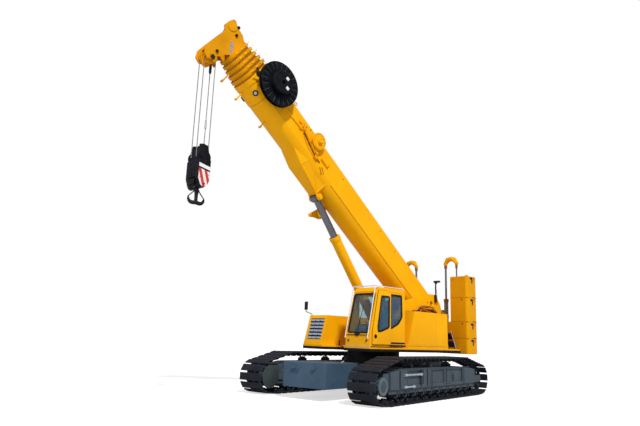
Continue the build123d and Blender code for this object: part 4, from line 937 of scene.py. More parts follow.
def makeTopFittings():
    # ring eye and hook on the boom's top edge, the roller stands for the ropes
    eye = {"s": 9.2, "y": 0.27, "n": 0.6, "radius": 0.05}
    stand = {"places": (0.9, 3.02, 6.02), "foot": 0.392, "axle": 0.5, "half": 0.1,
             "cheek": ((-0.115, -0.103), (0.103, 0.115))}
    shape = bmesh.new()
    addRing(shape, (eye["s"], eye["y"], eye["n"]), (0, 1, 0), eye["radius"], 0.014, 32, 10)
    addBar(shape, (eye["s"], eye["y"], 0.545), (eye["s"], 0.245, 0.4), 0.016, sides=12)
    finishPiece("ring_eye", shape, "orange", "boom", boomMatrix)
    shape = bmesh.new()
    addPlate(shape, [(8.84, stand["foot"]), (9.04, stand["foot"]), (9.02, 0.47), (9.07, 0.52), (9.05, 0.555),
                     (8.98, 0.55), (8.96, 0.5), (8.92, 0.49), (8.9, 0.55), (8.86, 0.54)], 0.24, 0.262)
    for s in stand["places"]:
        addPin(shape, (s, stand["axle"]), -stand["half"], stand["half"], 0.028)
        for near, far in stand["cheek"]:
            addBlock(shape, (s - 0.03, near, stand["foot"]), (s + 0.03, far, stand["axle"] + 0.03))
    soften(shape, 0.003, 1)
    finishPiece("top_hooks", shape, "yellow", "boom", boomMatrix)


def makeReelTrim():
    # the reel's raised hub with two blank plates, its rims, ribs and pale spokes, and the cable wound inside
    reel = {"place": (10.13, 0.08), "far": 0.76, "hub": 0.36, "hubFace": 0.93, "radius": 0.7, "ribs": 20,
            "rims": (0.648, 0.758), "plates": ((-0.02, 0.215), (-0.215, -0.02)), "plateHalf": (0.055, 0.05),
            "cable": 0.52, "coils": 6, "firstCoil": 0.676, "coilPitch": 0.014}
    s, n = reel["place"]
    way, hub = (0, 1, 0), reel["hub"]

    def addRays(shape, shift, proud, near, far, radius, farRadius, sides):
        for index in range(reel["ribs"]):
            turn = 2 * math.pi * (index + shift) / reel["ribs"]
            start, end = ((s + reach * math.cos(turn), reel["far"] + proud, n + reach * math.sin(turn))
                          for reach in (near, far))
            addBar(shape, start, end, radius, farRadius, sides)

    shape = bmesh.new()
    addProfile(shape, [(0.06, 0.0), (hub - 0.02, 0.0), (hub, 0.02), (hub, 0.15), (hub - 0.02, 0.172),
                       (0.3, 0.176),
                       (0.28, 0.168), (0.1, 0.168), (0.06, 0.176)], (s, reel["far"], n), way, 56)
    for depth in reel["rims"]:
        addRing(shape, (s, depth, n), way, reel["radius"] - 0.008, 0.012, 72, 8)
    addRays(shape, 0.5, 0.004, 0.38, 0.675, 0.014, 0.009, 8)
    finishPiece("reel_hub", shape, "reel", "cable_reel", boomMatrix)
    shape = bmesh.new()
    addRays(shape, 0, 0.002, 0.39, 0.67, 0.006, 0.01, 6)
    finishPiece("reel_spokes", shape, "frameGrey", "cable_reel", boomMatrix)
    shape = bmesh.new()
    long, high = reel["plateHalf"]
    for along, up in reel["plates"]:
        addBlock(shape, (s + along - long, reel["hubFace"] - 0.006, n + up - high),
                 (s + along + long, reel["hubFace"] + 0.008, n + up + high))
    soften(shape, 0.006, 2)
    finishPiece("reel_plates", shape, "whitePlate", "cable_reel", boomMatrix)
    shape = bmesh.new()
    for index in range(reel["coils"]):
        addRing(shape, (s, reel["firstCoil"] + reel["coilPitch"] * index, n), way, reel["cable"], 0.016, 64,
                8)
    finishPiece("reel_cable", shape, "rubber", "cable_reel", boomMatrix)
    # the dark link between the reel and the base collar
    shape = bmesh.new()
    addPin(shape, (10.74, -0.13), 0.445, 0.53, 0.07, 24)
    addBar(shape, (10.72, 0.5, -0.14), (10.36, 0.52, -0.24), 0.036, sides=16)
    addBar(shape, (10.76, 0.49, -0.11), (10.9, 0.47, -0.02), 0.026, sides=14)
    soften(shape, 0.004, 1)
    finishPiece("reel_link", shape, "forged", "boom", boomMatrix)


makeGapShadeRings()
makeCollarTrim()
makeBellyPatch()
makeBoomSeams()
makeSaddleTrim()
makeUnderBracket()
makeJibPivot()
makeReelGuide()
makeTopFittings()
makeReelTrim()
print("boom trim made")


# hook block, drawn at its parked place under the head
hook = {
    "x": 7.287, "low": 5.6, "half": 0.18, "face": 0.33, "plate": 0.008, "strip": (6.1, 6.2),
    "stripes": (5.6, 6.055), "tilt": 0.035, "axle": 6.44, "axleCaps": (5.672, 6.311),
    "horn": ((0.0, 0.395, 0.052), (0.06, 0.405, 0.056), (0.12, 0.408, 0.055), (0.17, 0.398, 0.05),
             (0.205, 0.372, 0.044), (0.228, 0.335, 0.037), (0.238, 0.292, 0.029), (0.238, 0.258, 0.021)),
}


def makeBlockPlates():
    # the white strip and the striped plate on each face, with their bolts
    x, half, outFace = hook["x"], hook["half"], hook["face"] + hook["plate"]
    left, right = x - half, x + half
    for side, word in bothSides:
        inner, outer = span(side, hook["face"] - 0.002, outFace)
        tilt = hook["tilt"] * side
        low, high = hook["strip"]
        shape = bmesh.new()
        addPlate(shape, [(left + 0.004, low - tilt), (right - 0.004, low + tilt),
                         (right - 0.004, high + tilt), (left + 0.004, high - tilt)], inner, outer)
        soften(shape, 0.003, 1)
        finishPiece("block_strip_" + word, shape, "whitePlate", "hook_block")
        low, high = hook["stripes"]
        shape = bmesh.new()
        addPlate(shape, [(left + 0.006, high - tilt), (left + 0.006, low + 0.2), (x - 0.1, low + 0.035),
                         (x - 0.04, low - 0.012), (x + 0.04, low - 0.012), (x + 0.1, low + 0.035),
                         (right - 0.006, low + 0.2), (right - 0.006, high + tilt)], inner, outer)
        soften(shape, 0.002, 1)
        finishPiece("block_stripes_" + word, shape, "stripes", "hook_block")
    shape = bmesh.new()
    lowCap, highCap = hook["axleCaps"]
    for side, _ in bothSides:
        addPin(shape, (x - 0.01, lowCap), side * (outFace - 0.006), side * (outFace + 0.004), 0.026)
        addPin(shape, (x - 0.01, highCap), side * (hook["face"] - 0.004), side * (hook["face"] + 0.006),
               0.028)
        for across, z in ((0.14, 6.0), (-0.14, 5.93), (0.13, 5.83), (-0.13, 5.83)):
            addBolt(shape, (x + across, side * outFace, z), (0, side, 0), 0.01, 0.007)
    finishPiece("block_bolts", shape, "forged", "hook_block")


def makeBlockShell():
    # rounded sheave guards with the axle's caps and the top lugs, then the faces' ribs and slots
    x, axle = hook["x"], hook["axle"]
    guard = {"rounds": ((0.205, 0.242, 0.262), (0.1, 0.2505, 0.3)), "boltCircle": 0.172, "lugFoot": 6.7,
             "lugTop": 6.83}
    rib = {"y": (-0.07, 0.07), "low": 5.93, "high": 6.16, "slot": (5.69, 5.84), "bars": (5.7, 5.83),
           "reach": 0.14}
    shape = bmesh.new()
    for side, _ in bothSides:
        for radius, near, far in guard["rounds"]:
            addPin(shape, (x, axle), side * near, side * far, radius, 40)
        addBoltRing(shape, (x, side * 0.262, axle), guard["boltCircle"], 8, (0, side, 0), 0.012, 0.01)
        addPlate(shape, [(x - 0.09, guard["lugFoot"]), (x + 0.09, guard["lugFoot"]),
                         (x + 0.05, guard["lugTop"]), (x - 0.05, guard["lugTop"])], *span(side, 0.175, 0.193))
    soften(shape, 0.004, 1)
    finishPiece("block_guards", shape, "hookBlack", "hook_block")
    shape = bmesh.new()
    for way in (1, -1):
        low, high = sorted((x + way * 0.18, x + way * 0.19))
        for y in rib["y"]:
            addBlock(shape, (low, y - 0.035, rib["low"]), (high, y + 0.035, rib["high"]))
        low, high = sorted((x + way * 0.174, x + way * 0.186))
        addBlock(shape, (low, -rib["reach"], rib["slot"][0]), (high, rib["reach"], rib["slot"][1]))
        for z in rib["bars"]:
            addPin(shape, (x + way * 0.182, z), -rib["reach"], rib["reach"], 0.01, 8)
        outline = ((0.158, 6.18), (0.172, 6.18), (0.184, 6.42), (0.128, 6.7), (0.116, 6.7), (0.17, 6.42))
        addPlate(shape, [(x + way * out, z) for out, z in outline], -0.244, 0.244)
        for step in range(5):
            y = -0.18 + 0.07 * step
            addBar(shape, (x + way * 0.186, y, 6.4), (x + way * 0.186, y + 0.06, 6.43), 0.006, sides=8)
    soften(shape, 0.003, 1)
    finishPiece("block_front", shape, "hookBlack", "hook_block")
    shape = bmesh.new()
    addPin(shape, (x, 6.795), -0.05, 0.05, 0.018, 16)
    addRing(shape, (x, 0.0, 6.79), (0, 1, 0), 0.02, 0.007, 20, 8)
    finishPiece("block_eye", shape, "zinc", "hook_block")


def makeHook():
    # the forged double hook with its swivel nut and latches
    x = hook["x"]
    latch = {"foot": (0.062, 5.53), "tip": (0.236, 5.345), "pin": (0.056, 5.532), "pinHalf": 0.034}
    shape = bmesh.new()
    addProfile(shape, [(0.001, 5.864), (0.062, 5.864), (0.095, 5.85), (0.095, 5.8105), (0.051, 5.8105),
                       (0.051, 5.62),
                       (0.058, 5.585), (0.06, 5.5), (0.05, 5.42), (0.046, 5.3), (0.052, 5.22), (0.001, 5.2)],
               (x, 0, 0), (0, 0, 1), 28)
    for side, _ in bothSides:
        line = [(x + side * across, 0, hook["low"] - drop) for across, drop, thick in hook["horn"]]
        addSweep(shape, line, [thick for across, drop, thick in hook["horn"]], 16)
        addBall(shape, line[-1], hook["horn"][-1][2])
    piece = finishPiece("double_hook", shape, "forged", "hook")
    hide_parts("crane_hook")
    shape = bmesh.new()
    for side, _ in bothSides:
        start, end = ((x + side * across, 0, z) for across, z in (latch["foot"], latch["tip"]))
        addBar(shape, start, end, 0.017, 0.013, sides=12)
        across, z = latch["pin"]
        addPin(shape, (x + side * across, z), -latch["pinHalf"], latch["pinHalf"], 0.022, 14)
    soften(shape, 0.002, 1)
    finishPiece("hook_latches", shape, "forged", "hook")


# counterweight and rear
slab = {
    "joints": (1.92, 2.51, 3.38, 4.16), "rear": -3.694, "front": -3.066, "inner": 1.072, "outer": 1.774,
    "lugX": (-3.565, -3.475), "lugFace": 1.75, "eyeX": -3.52, "catches": (4.12, 3.323, 2.45, 1.875),
    "marks": (3.318, 2.448), "markY": 1.57, "top": 4.155,
}


def makeSlabDetails():
    # shaded joints, lifting lugs in their pockets, dark plates painted as the shade in the side pockets,
    # marks on the front and the top's eye
    for side, word in bothSides:
        shape = bmesh.new()
        near, far = span(side, slab["inner"], slab["outer"])
        for z in slab["joints"][:-1]:
            addBlock(shape, (slab["rear"], near, z - 0.0085), (slab["front"], far, z + 0.004))
        finishPiece("slab_joints_" + word, shape, "seam", "superstructure", None)
        shape = bmesh.new()
        rear, front = slab["lugX"]
        near, far = span(side, slab["lugFace"], slab["lugFace"] + 0.01)
        for high in slab["joints"]:
            addBlock(shape, (rear, near, high - 0.15), (front, far, high - 0.045))
            addRing(shape, (slab["eyeX"], side * 1.768, high - 0.095), (0, 1, 0), 0.026, 0.008, 22, 8)
            addBar(shape, (slab["eyeX"] - 0.04, side * 1.766, high - 0.052),
                   (slab["eyeX"] + 0.04, side * 1.766, high - 0.052), 0.008, sides=10)
        finishPiece("slab_lugs_" + word, shape, "cast", "superstructure", None)
        # thin dark plates on the sides: painted shade of the pockets
        shape = bmesh.new()
        for high in slab["catches"]:
            outline = ((-3.44, 0.01), (-3.29, 0.01), (-3.262, -0.03), (-3.29, -0.07), (-3.365, -0.075),
                       (-3.362, -0.17), (-3.395, -0.23), (-3.44, -0.18))
            addPlate(shape, [(x, high + rise) for x, rise in outline], *span(side, 1.776, 1.7815))
        finishPiece("slab_catches_" + word, shape, "dark", "superstructure")
        shape = bmesh.new()
        for z in slab["marks"]:
            addBar(shape, (slab["front"], side * slab["markY"], z),
                   (slab["front"] + 0.022, side * slab["markY"], z), 0.026, sides=20)
        addBolt(shape, (slab["front"] + 0.006, side * 1.2, 4.05), (1, 0, 0), 0.02, 0.014)
        finishPiece("slab_marks_" + word, shape, "rustBrown", "superstructure", None)
        shape = bmesh.new()
        outline = ((1.54, 0), (1.72, 0), (1.68, 0.05), (1.58, 0.05))
        addPlate(shape, [(side * y, slab["top"] + rise) for y, rise in outline], -3.3, -3.26, "YZ")
        addRing(shape, (-3.28, side * 1.63, slab["top"] + 0.04), (1, 0, 0), 0.024, 0.009, 22, 8)
        finishPiece("slab_top_lug_" + word, shape, "orange", "superstructure", None)


def makeYokes():
    # the curved yellow yokes over the ballast posts, the glands and the pipes below them
    yoke = {"x": -3.33, "inner": 0.705, "outer": 1.18, "foot": 4.69, "crown": 4.875, "thick": 0.09,
            "thin": 0.066, "steps": 16, "pipes": (0.62, 0.78), "pipeRise": (1.95, 3.25),
            "glands": ((0.7, 4.52, 4.64, 0.058), (1.18, 4.5, 4.64, 0.044), (0.7, 3.24, 3.36, 0.092),
                       (0.7, 2.66, 2.74, 0.088))}
    shares = [step / yoke["steps"] for step in range(yoke["steps"] + 1)]
    for side, word in bothSides:
        shape = bmesh.new()
        points = [(yoke["x"], side * (yoke["inner"] + (yoke["outer"] - yoke["inner"]) * share),
                   yoke["foot"] + (yoke["crown"] - yoke["foot"]) * math.sin(math.pi * share) ** 0.75)
                  for share in shares]
        swell = yoke["thick"] - yoke["thin"]
        radii = [yoke["thin"] + swell * math.sin(math.pi * share) for share in shares]
        addSweep(shape, points, radii, 16)
        finishPiece("ballast_yoke_" + word, shape, "yellow", "superstructure")
        shape = bmesh.new()
        for y, low, high, radius in yoke["glands"]:
            addBar(shape, (yoke["x"], side * y, low), (yoke["x"], side * y, high), radius)
        soften(shape, 0.004, 1)
        finishPiece("ballast_glands_" + word, shape, "rustBrown", "superstructure")
        shape = bmesh.new()
        for y in yoke["pipes"]:
            low, high = ((yoke["x"], side * y, z) for z in yoke["pipeRise"])
            addBar(shape, low, high, 0.014, sides=12)
        finishPiece("ballast_pipes_" + word, shape, "zinc", "superstructure")


def makeMastHead():
    # the small mast's lamps and cable beside the boom's foot
    mast = {"lamps": (0.5, 0.6, 0.665), "x": (-2.955, -2.875), "z": 3.985,
            "cable": [(-2.92, 0.535, 3.94), (-2.9, 0.548, 3.7), (-2.94, 0.56, 3.5), (-2.98, 0.53, 3.3),
                      (-3.02, 0.5, 3.12)]}
    shape = bmesh.new()
    for y in mast["lamps"]:
        rear, front = ((x, y, mast["z"]) for x in mast["x"])
        addBar(shape, rear, front, 0.028, sides=18)
    addBlock(shape, (-2.945, 0.535, 3.9), (-2.895, 0.575, 3.95))
    soften(shape, 0.004, 1)
    finishPiece("mast_lamps", shape, "plastic", "superstructure")
    tubePiece("mast_cable", mast["cable"], 0.009, "rubber", "superstructure")


def makeLadderRungs():
    rung = {"foot": (-2.88, 1.539), "top": (-2.56, 2.12), "ends": (1.12, 1.42), "shares": (0.05, 0.52, 0.97),
            "backs": ((0.1, 0.48), (0.56, 0.93)), "half": 0.048}
    near, far = rung["ends"]

    def onLadder(share):
        return [low + (high - low) * share for low, high in zip(rung["foot"], rung["top"])]

    shape = bmesh.new()
    for x, z in map(onLadder, rung["shares"]):
        addBlock(shape, (x - rung["half"], near + 0.01, z + 0.01), (x + rung["half"], far - 0.01, z + 0.022))
        for step in range(5):
            y = near + 0.05 + step * 0.05
            addBar(shape, (x - 0.03, y, z + 0.022), (x + 0.03, y, z + 0.022), 0.006, sides=8)
    for y in rung["ends"]:
        (footX, footZ), (topX, topZ) = rung["foot"], rung["top"]
        addBar(shape, (footX + 0.024, y, footZ), (topX + 0.024, y, topZ + 0.02), 0.016, sides=10)
    finishPiece("ladder_treads", shape, "paleStrip", "superstructure")
    # dark panels between the rungs: painted shade seen behind the ladder
    shape = bmesh.new()
    for low, high in rung["backs"]:
        (lowX, lowZ), (highX, highZ) = onLadder(low), onLadder(high)
        addPlate(shape, [(lowX - 0.026, lowZ), (lowX - 0.012, lowZ), (highX - 0.012, highZ),
                         (highX - 0.026, highZ)],
                 near + 0.004, far - 0.004)
    finishPiece("ladder_backs", shape, "dark", "superstructure")


# winch ropes and hoses
def makeWinchRopes():
    drum = {"half": 0.36, "coils": 26, "rope": 0.0145, "flange": 0.4}
    for name, body, x, z, core, flange in (("main_rope", "main_winch", -3.56, 2.62, 0.262, 0.35),
                                           ("auxiliary_rope", "auxiliary_winch", -2.45, 1.86, 0.208, 0.27)):
        shape = bmesh.new()
        for index in range(drum["coils"]):
            y = drum["half"] * (2 * index / (drum["coils"] - 1) - 1)
            addRing(shape, (x, y, z), (0, 1, 0), core, drum["rope"], 48, 6)
        finishPiece(name, shape, "rope", body)
        shape = bmesh.new()
        for side, _ in bothSides:
            addBoltRing(shape, (x, side * drum["flange"], z), flange - 0.05, 8, (0, side, 0), 0.014, 0.01)
        finishPiece(name + "_bolts", shape, "forged", body)


def makeFootHoses():
    # hydraulic hoses between the boom's foot, the winch and the left cheek plate, with valves, a row of dark
    # blocks that paint the shade along the locker's top, and bolts
    random.seed(4)
    rearLooks, footLooks = ("rustBrown", "orange", "rubber", "bronze"), ("rubber", "bronze", "rustBrown")
    cheek = {"face": 0.4705, "pin": (-2.74, 0.52, 2.88), "pinCircle": 0.165,
             "bolts": ((-0.9, 1.88), (-1.3, 2.33), (-1.9, 2.78), (-2.45, 3.18)),
             "valves": ((-2.2, 2.86), (-2.32, 2.93), (-2.66, 3.18), (-3.1, 2.72), (-3.22, 2.66))}
    for index in range(8):
        y = 0.5 + 0.04 * (index % 3)
        line = [(-1.35 - 0.1 * index, y, 2.752), (-1.6 - 0.06 * index, y + 0.05, 2.85 + 0.03 * index),
                (-2.02, y + 0.06, 2.86 + 0.05 * (index % 4)),
                (-2.46 - 0.02 * index, y + 0.08, 2.76 + 0.04 * index),
                (-2.9, y + 0.02, 2.7 + 0.05 * (index % 3)), (-3.08, y, 2.62)]
        tubePiece(f"rear_hose_{index}", line, 0.016 + 0.003 * (index % 2), rearLooks[index % 4],
                  "superstructure", None)
    for index in range(6):
        y = 0.478 + 0.016 * (index % 3)
        lift = 0.05 * index
        jitter = [random.uniform(-0.02, 0.02) for _ in range(4)]
        line = [(-1.62 - 0.05 * index, y, 2.3 + lift * 0.4), (-1.95, y + 0.02, 2.62 + lift + jitter[0]),
                (-2.3, y + 0.05, 2.66 + lift + jitter[1]), (-2.62, y + 0.05, 2.5 + lift + jitter[2]),
                (-2.86, y + 0.02, 2.36 + lift + jitter[3]), (-3.02, y, 2.3 + lift * 0.5)]
        tubePiece(f"foot_hose_{index}", line, 0.013 + 0.002 * (index % 2), footLooks[index % 3],
                  "superstructure", None)
    # dark blocks shaped as valves along the locker's top inner edge: painted shade between the locker and the
    # cheek plate
    shape = bmesh.new()
    for index in range(14):
        x = -0.75 - 0.155 * index
        length = random.uniform(0.05, 0.12)
        rise = random.uniform(0.03, 0.09)
        far = 0.6 + random.uniform(-0.04, 0.04)
        addBlock(shape, (x - length, cheek["face"], 2.7), (x, far, 2.735 + rise))
    soften(shape, 0.004, 1)
    finishPiece("valve_row", shape, "rustBrown", "superstructure")
    shape = bmesh.new()
    for x, z in cheek["valves"]:
        addBlock(shape, (x - 0.04, cheek["face"], z - 0.035), (x + 0.04, 0.53, z + 0.035))
        addBar(shape, (x, 0.5, z + 0.035), (x, 0.5, z + 0.075), 0.016, sides=12)
    soften(shape, 0.004, 1)
    finishPiece("foot_valves", shape, "rustBrown", "superstructure")
    shape = bmesh.new()
    for x, z in cheek["bolts"]:
        addBolt(shape, (x, 0.47, z), (0, 1, 0), 0.02, 0.016)
    addBoltRing(shape, cheek["pin"], cheek["pinCircle"], 12, (0, 1, 0), 0.013, 0.01)
    finishPiece("cheek_bolts", shape, "forged", "superstructure")


makeBlockPlates()
makeBlockShell()
makeHook()
makeSlabDetails()
makeYokes()
makeMastHead()
makeLadderRungs()
makeWinchRopes()
makeFootHoses()
print("hook and rear made")


# tracks' side frames, drives and the lower machine, drawn before the tracks' turn
lower = {
    "face": 2.4, "panel": 2.355, "middle": 2.05, "driveX": 3.3, "driveZ": 0.53, "driveFace": 2.435,
    "innerFace": 1.665, "rollers": 10, "row": 4.7, "ballastEnd": 3.68,
}


def makeFrameTrim(side, word):
    # silver rods, ribs and bosses, dark bands and the rollers' caps on one side frame
    trim = {
        "rods": ((2.12, 1.11, 0.8), (2.15, 1.56, 0.47)), "rodProud": 0.024, "clamps": (1.8, 1.3),
        "ribs": (2.3, 1.9, 0.5, -0.55, -1.9), "ribRise": (0.44, 0.93), "bosses": (0.73, 0.65),
        "bossX": -1.148, "hoop": (((-0.52, 0.49), (-0.49, 0.85)), ((-0.97, 0.475), (-0.49, 0.505)),
                 ((-2.4, 0.955), (2.2, 0.972))),
        "pipes": (0.904, 0.363, -0.6, -1.85), "bandRise": (0.45, 0.94),
        "bands": ((2.36, 0.05), (1.1, 0.07), (0.7, 0.07), (0.4, 0.05), (-0.62, 0.05), (-1.96, 0.04)),
        "rollerAcross": 0.302, "rollerZ": 0.262, "rollerBolts": (-0.075, 0.075),
    }
    face, panel = side * lower["face"], side * lower["panel"]
    shape = bmesh.new()
    y = face + side * trim["rodProud"]
    for start, end, z in trim["rods"]:
        for near, far, radius in ((start, end, 0.022), (end + 0.08, end, 0.042),
                                  (start - 0.14, start, 0.038)):
            addBar(shape, (near, y, z), (far, y, z), radius, sides=14)
    near, far = sorted((face, face + side * 0.03))
    for x in trim["clamps"]:
        addBlock(shape, (x - 0.02, near, 0.77), (x + 0.02, far, 0.83))
    finishPiece("frame_rods_" + word, shape, "rodSilver", "undercarriage", trackMatrix)
    shape = bmesh.new()
    near, far = sorted((face - side * 0.004, face + side * 0.016))
    low, high = trim["ribRise"]
    for x in trim["ribs"]:
        addBlock(shape, (x - 0.018, near, low), (x + 0.018, far, high))
    for z in trim["bosses"]:
        addPin(shape, (trim["bossX"], z), face, face + side * 0.035, 0.056, 20)
    for (rear, low), (front, high) in trim["hoop"]:
        addBlock(shape, (rear, near, low), (front, far, high))
    soften(shape, 0.003, 1)
    finishPiece("frame_ribs_" + word, shape, "frameGrey", "undercarriage", trackMatrix)
    shape = bmesh.new()
    for x in trim["pipes"]:
        addBar(shape, (x, panel, 0.52), (x, panel, 0.9), 0.016, sides=10)
    near, far = sorted((face - side * 0.002, face + side * 0.004))
    low, high = trim["bandRise"]
    for x, width in trim["bands"]:
        addBlock(shape, (x - width / 2, near, low), (x + width / 2, far, high))
    for index in range(lower["rollers"]):
        x = (index / (lower["rollers"] - 1) - 0.5) * lower["row"]
        for inward in (1, -1):
            y = side * (lower["middle"] + inward * trim["rollerAcross"])
            addPin(shape, (x, trim["rollerZ"]), y, y + side * inward * 0.032, 0.046)
            for shift in trim["rollerBolts"]:
                addBolt(shape, (x + shift, y, trim["rollerZ"] + 0.076), (0, side * inward, 0), 0.017, 0.016)
    finishPiece("roller_caps_" + word, shape, "forged", "undercarriage", trackMatrix)


def makeDriveCovers(side, word):
    # the final drive's rim and cap outside, its disc inside, and the idler's cap at the rear
    x, z, face, innerFace = lower["driveX"], lower["driveZ"], lower["driveFace"], lower["innerFace"]
    drive = {
        "rim": [(0.15, -0.002), (0.232, -0.002), (0.232, 0.01), (0.226, 0.014), (0.156, 0.014), (0.15, 0.01)],
        "cap": [(0.001, -0.002), (0.148, -0.002), (0.148, 0.008), (0.11, 0.02), (0.001, 0.02)],
        "disc": [(0.001, 0.0), (0.355, 0.0), (0.355, 0.014), (0.34, 0.024), (0.16, 0.024), (0.13, 0.038),
                 (0.001, 0.038)],
        "rimCircle": 0.196, "capCircle": 0.08, "capTurns": (0.6, 2.7, 4.4), "discCircle": 0.31,
        "idlerCircle": 0.06, "idlerFace": 0.119,
    }
    outwards, inwards = (0, side, 0), (0, -side, 0)
    shape = bmesh.new()
    addProfile(shape, drive["rim"], (x, side * face, z), outwards, 56)
    addBoltRing(shape, (x, side * (face + 0.014), z), drive["rimCircle"], 14, outwards, 0.015, 0.012)
    finishPiece("drive_rim_" + word, shape, "rimGrey", "undercarriage", trackMatrix)
    shape = bmesh.new()
    addProfile(shape, drive["cap"], (x, side * face, z), outwards, 40)
    for turn in drive["capTurns"]:
        addBoltRing(shape, (x, side * (face + 0.018), z), drive["capCircle"], 1, outwards, 0.018, 0.014, turn)
    finishPiece("drive_caps_" + word, shape, "frameGrey", "undercarriage", trackMatrix)
    shape = bmesh.new()
    addProfile(shape, drive["disc"], (x, side * innerFace, z), inwards, 56)
    addBoltRing(shape, (x, side * (innerFace - 0.024), z), drive["discCircle"], 16, inwards, 0.015, 0.01)
    finishPiece("drive_discs_" + word, shape, "discGreen", "undercarriage", trackMatrix)
    shape = bmesh.new()
    addBoltRing(shape, (-x, side * (lower["middle"] + 0.25), z), drive["idlerCircle"], 6, outwards, 0.012,
                0.012)
    near = lower["middle"] + drive["idlerFace"]
    addPin(shape, (-x, z), side * near, side * (near + 0.011), 0.24, 48)
    finishPiece("idler_caps_" + word, shape, "frameGrey", "undercarriage", trackMatrix)


def makeCarbodyTrim():
    # the ballast's lugs and side bolts, the ring's bolts, the travel hoses and a tie rod
    body = {
        "flank": 0.79, "lugs": (0.38, -0.38), "lugApart": 0.056, "lugZ": 0.9, "plugs": (2.45, 3.3),
        "plugZ": 0.74,
        "bolts": (0.56, 0.72, 0.88), "boltX": 1.66, "port": (0.6, 0.6), "hoses": ((0.35, 0.02), (0.22, 0.05),
        (-0.22, 0.05), (-0.35, 0.02)), "ringCircle": 0.925, "ringZ": 1.199,
        "rod": ((3.259, 0.788, 0.681), (3.259, 0.815, 0.681), (2.263, 0.815, 1.085), (2.263, 0.77, 0.93)),
        "rodRadius": 0.016,
    }
    flank = body["flank"]
    shape = bmesh.new()
    for way in (1, -1):
        for y in body["lugs"]:
            for shift in (body["lugApart"], -body["lugApart"]):
                addProfile(shape, [(0.02, -0.012), (0.04, -0.012), (0.04, 0.012), (0.02, 0.012)],
                           (way * (lower["ballastEnd"] + 0.045), y + shift, body["lugZ"]), (0, 1, 0), 24)
        for side in (1, -1):
            for x in body["plugs"]:
                addPin(shape, (way * x, body["plugZ"]), side * (flank - 0.003), side * (flank + 0.005), 0.045,
                       20)
    finishPiece("weight_lugs", shape, "ballastGrey", "undercarriage")
    shape = bmesh.new()
    for side in (1, -1):
        for way in (1, -1):
            for z in body["bolts"]:
                addBolt(shape, (way * body["boltX"], side * flank, z), (0, side, 0), 0.022, 0.018)
            addPin(shape, (way * body["port"][0], body["port"][1]), side * flank, side * 0.83, 0.06, 20)
        for x, _ in body["hoses"]:
            addPin(shape, (x, 0.86), side * flank, side * 0.87, 0.02, 12)
    addBoltRing(shape, (0, 0, body["ringZ"]), body["ringCircle"], 40, (0, 0, -1), 0.018, 0.02)
    finishPiece("carbody_bolts", shape, "forged", "undercarriage")
    for index, (x, drop) in enumerate(body["hoses"]):
        for side, word in bothSides:
            line = [(x, side * 0.86, 0.86), (x, side * 1.05, 0.84 - drop), (x * 0.8, side * 1.4, 0.78 - drop),
                    (x * 0.8, side * 1.62, 0.8), (x * 0.8, side * 1.72, 0.8)]
            tubePiece(f"travel_hose_{word}_{index}", line, 0.016, "rubber", "undercarriage")
    shape = bmesh.new()
    for start, end in zip(body["rod"], body["rod"][1:]):
        addBar(shape, start, end, body["rodRadius"], sides=14)
        addBall(shape, end, body["rodRadius"])
    finishPiece("tie_rod", shape, "rodSilver", "undercarriage")


# deck, hood and locker
house = {
    "deckTop": 1.53, "lockerTop": 2.73, "hoodFace": -1.48, "hoodTop": 2.51, "hoodFoot": 1.53,
    "hoodFront": 1.88,
    "hoodFrontTop": 1.61, "hoodRear": -2.7, "mouth": (1.71, 2.4), "mouthSides": (-1.388, -0.712),
}


def hoodFront(z):
    lean = (house["hoodFront"] - house["hoodFrontTop"]) / (house["hoodTop"] - house["hoodFoot"])
    return house["hoodFront"] - lean * (z - house["hoodFoot"])


def makeGrille():
    # the dark backing and the two struts behind the bright slats
    low, high = house["mouth"]
    left, right = house["mouthSides"]
    room = 0.002

    def leaningStrip(shape, rear, front, cut, near, far):
        addPlate(shape, [(hoodFront(low) - rear, low + cut), (hoodFront(low) - front, low + cut),
                         (hoodFront(high) - front, high - cut), (hoodFront(high) - rear, high - cut)], near,
                 far)

    shape = bmesh.new()
    leaningStrip(shape, 0.075, 0.06, room, left + room, right - room)
    finishPiece("grille_back", shape, "rubber", "superstructure")
    shape = bmesh.new()
    for y in (left + 0.22, right - 0.22):
        leaningStrip(shape, 0.056, 0.014, 0, y - 0.006, y + 0.006)
    finishPiece("grille_struts", shape, "dark", "superstructure")


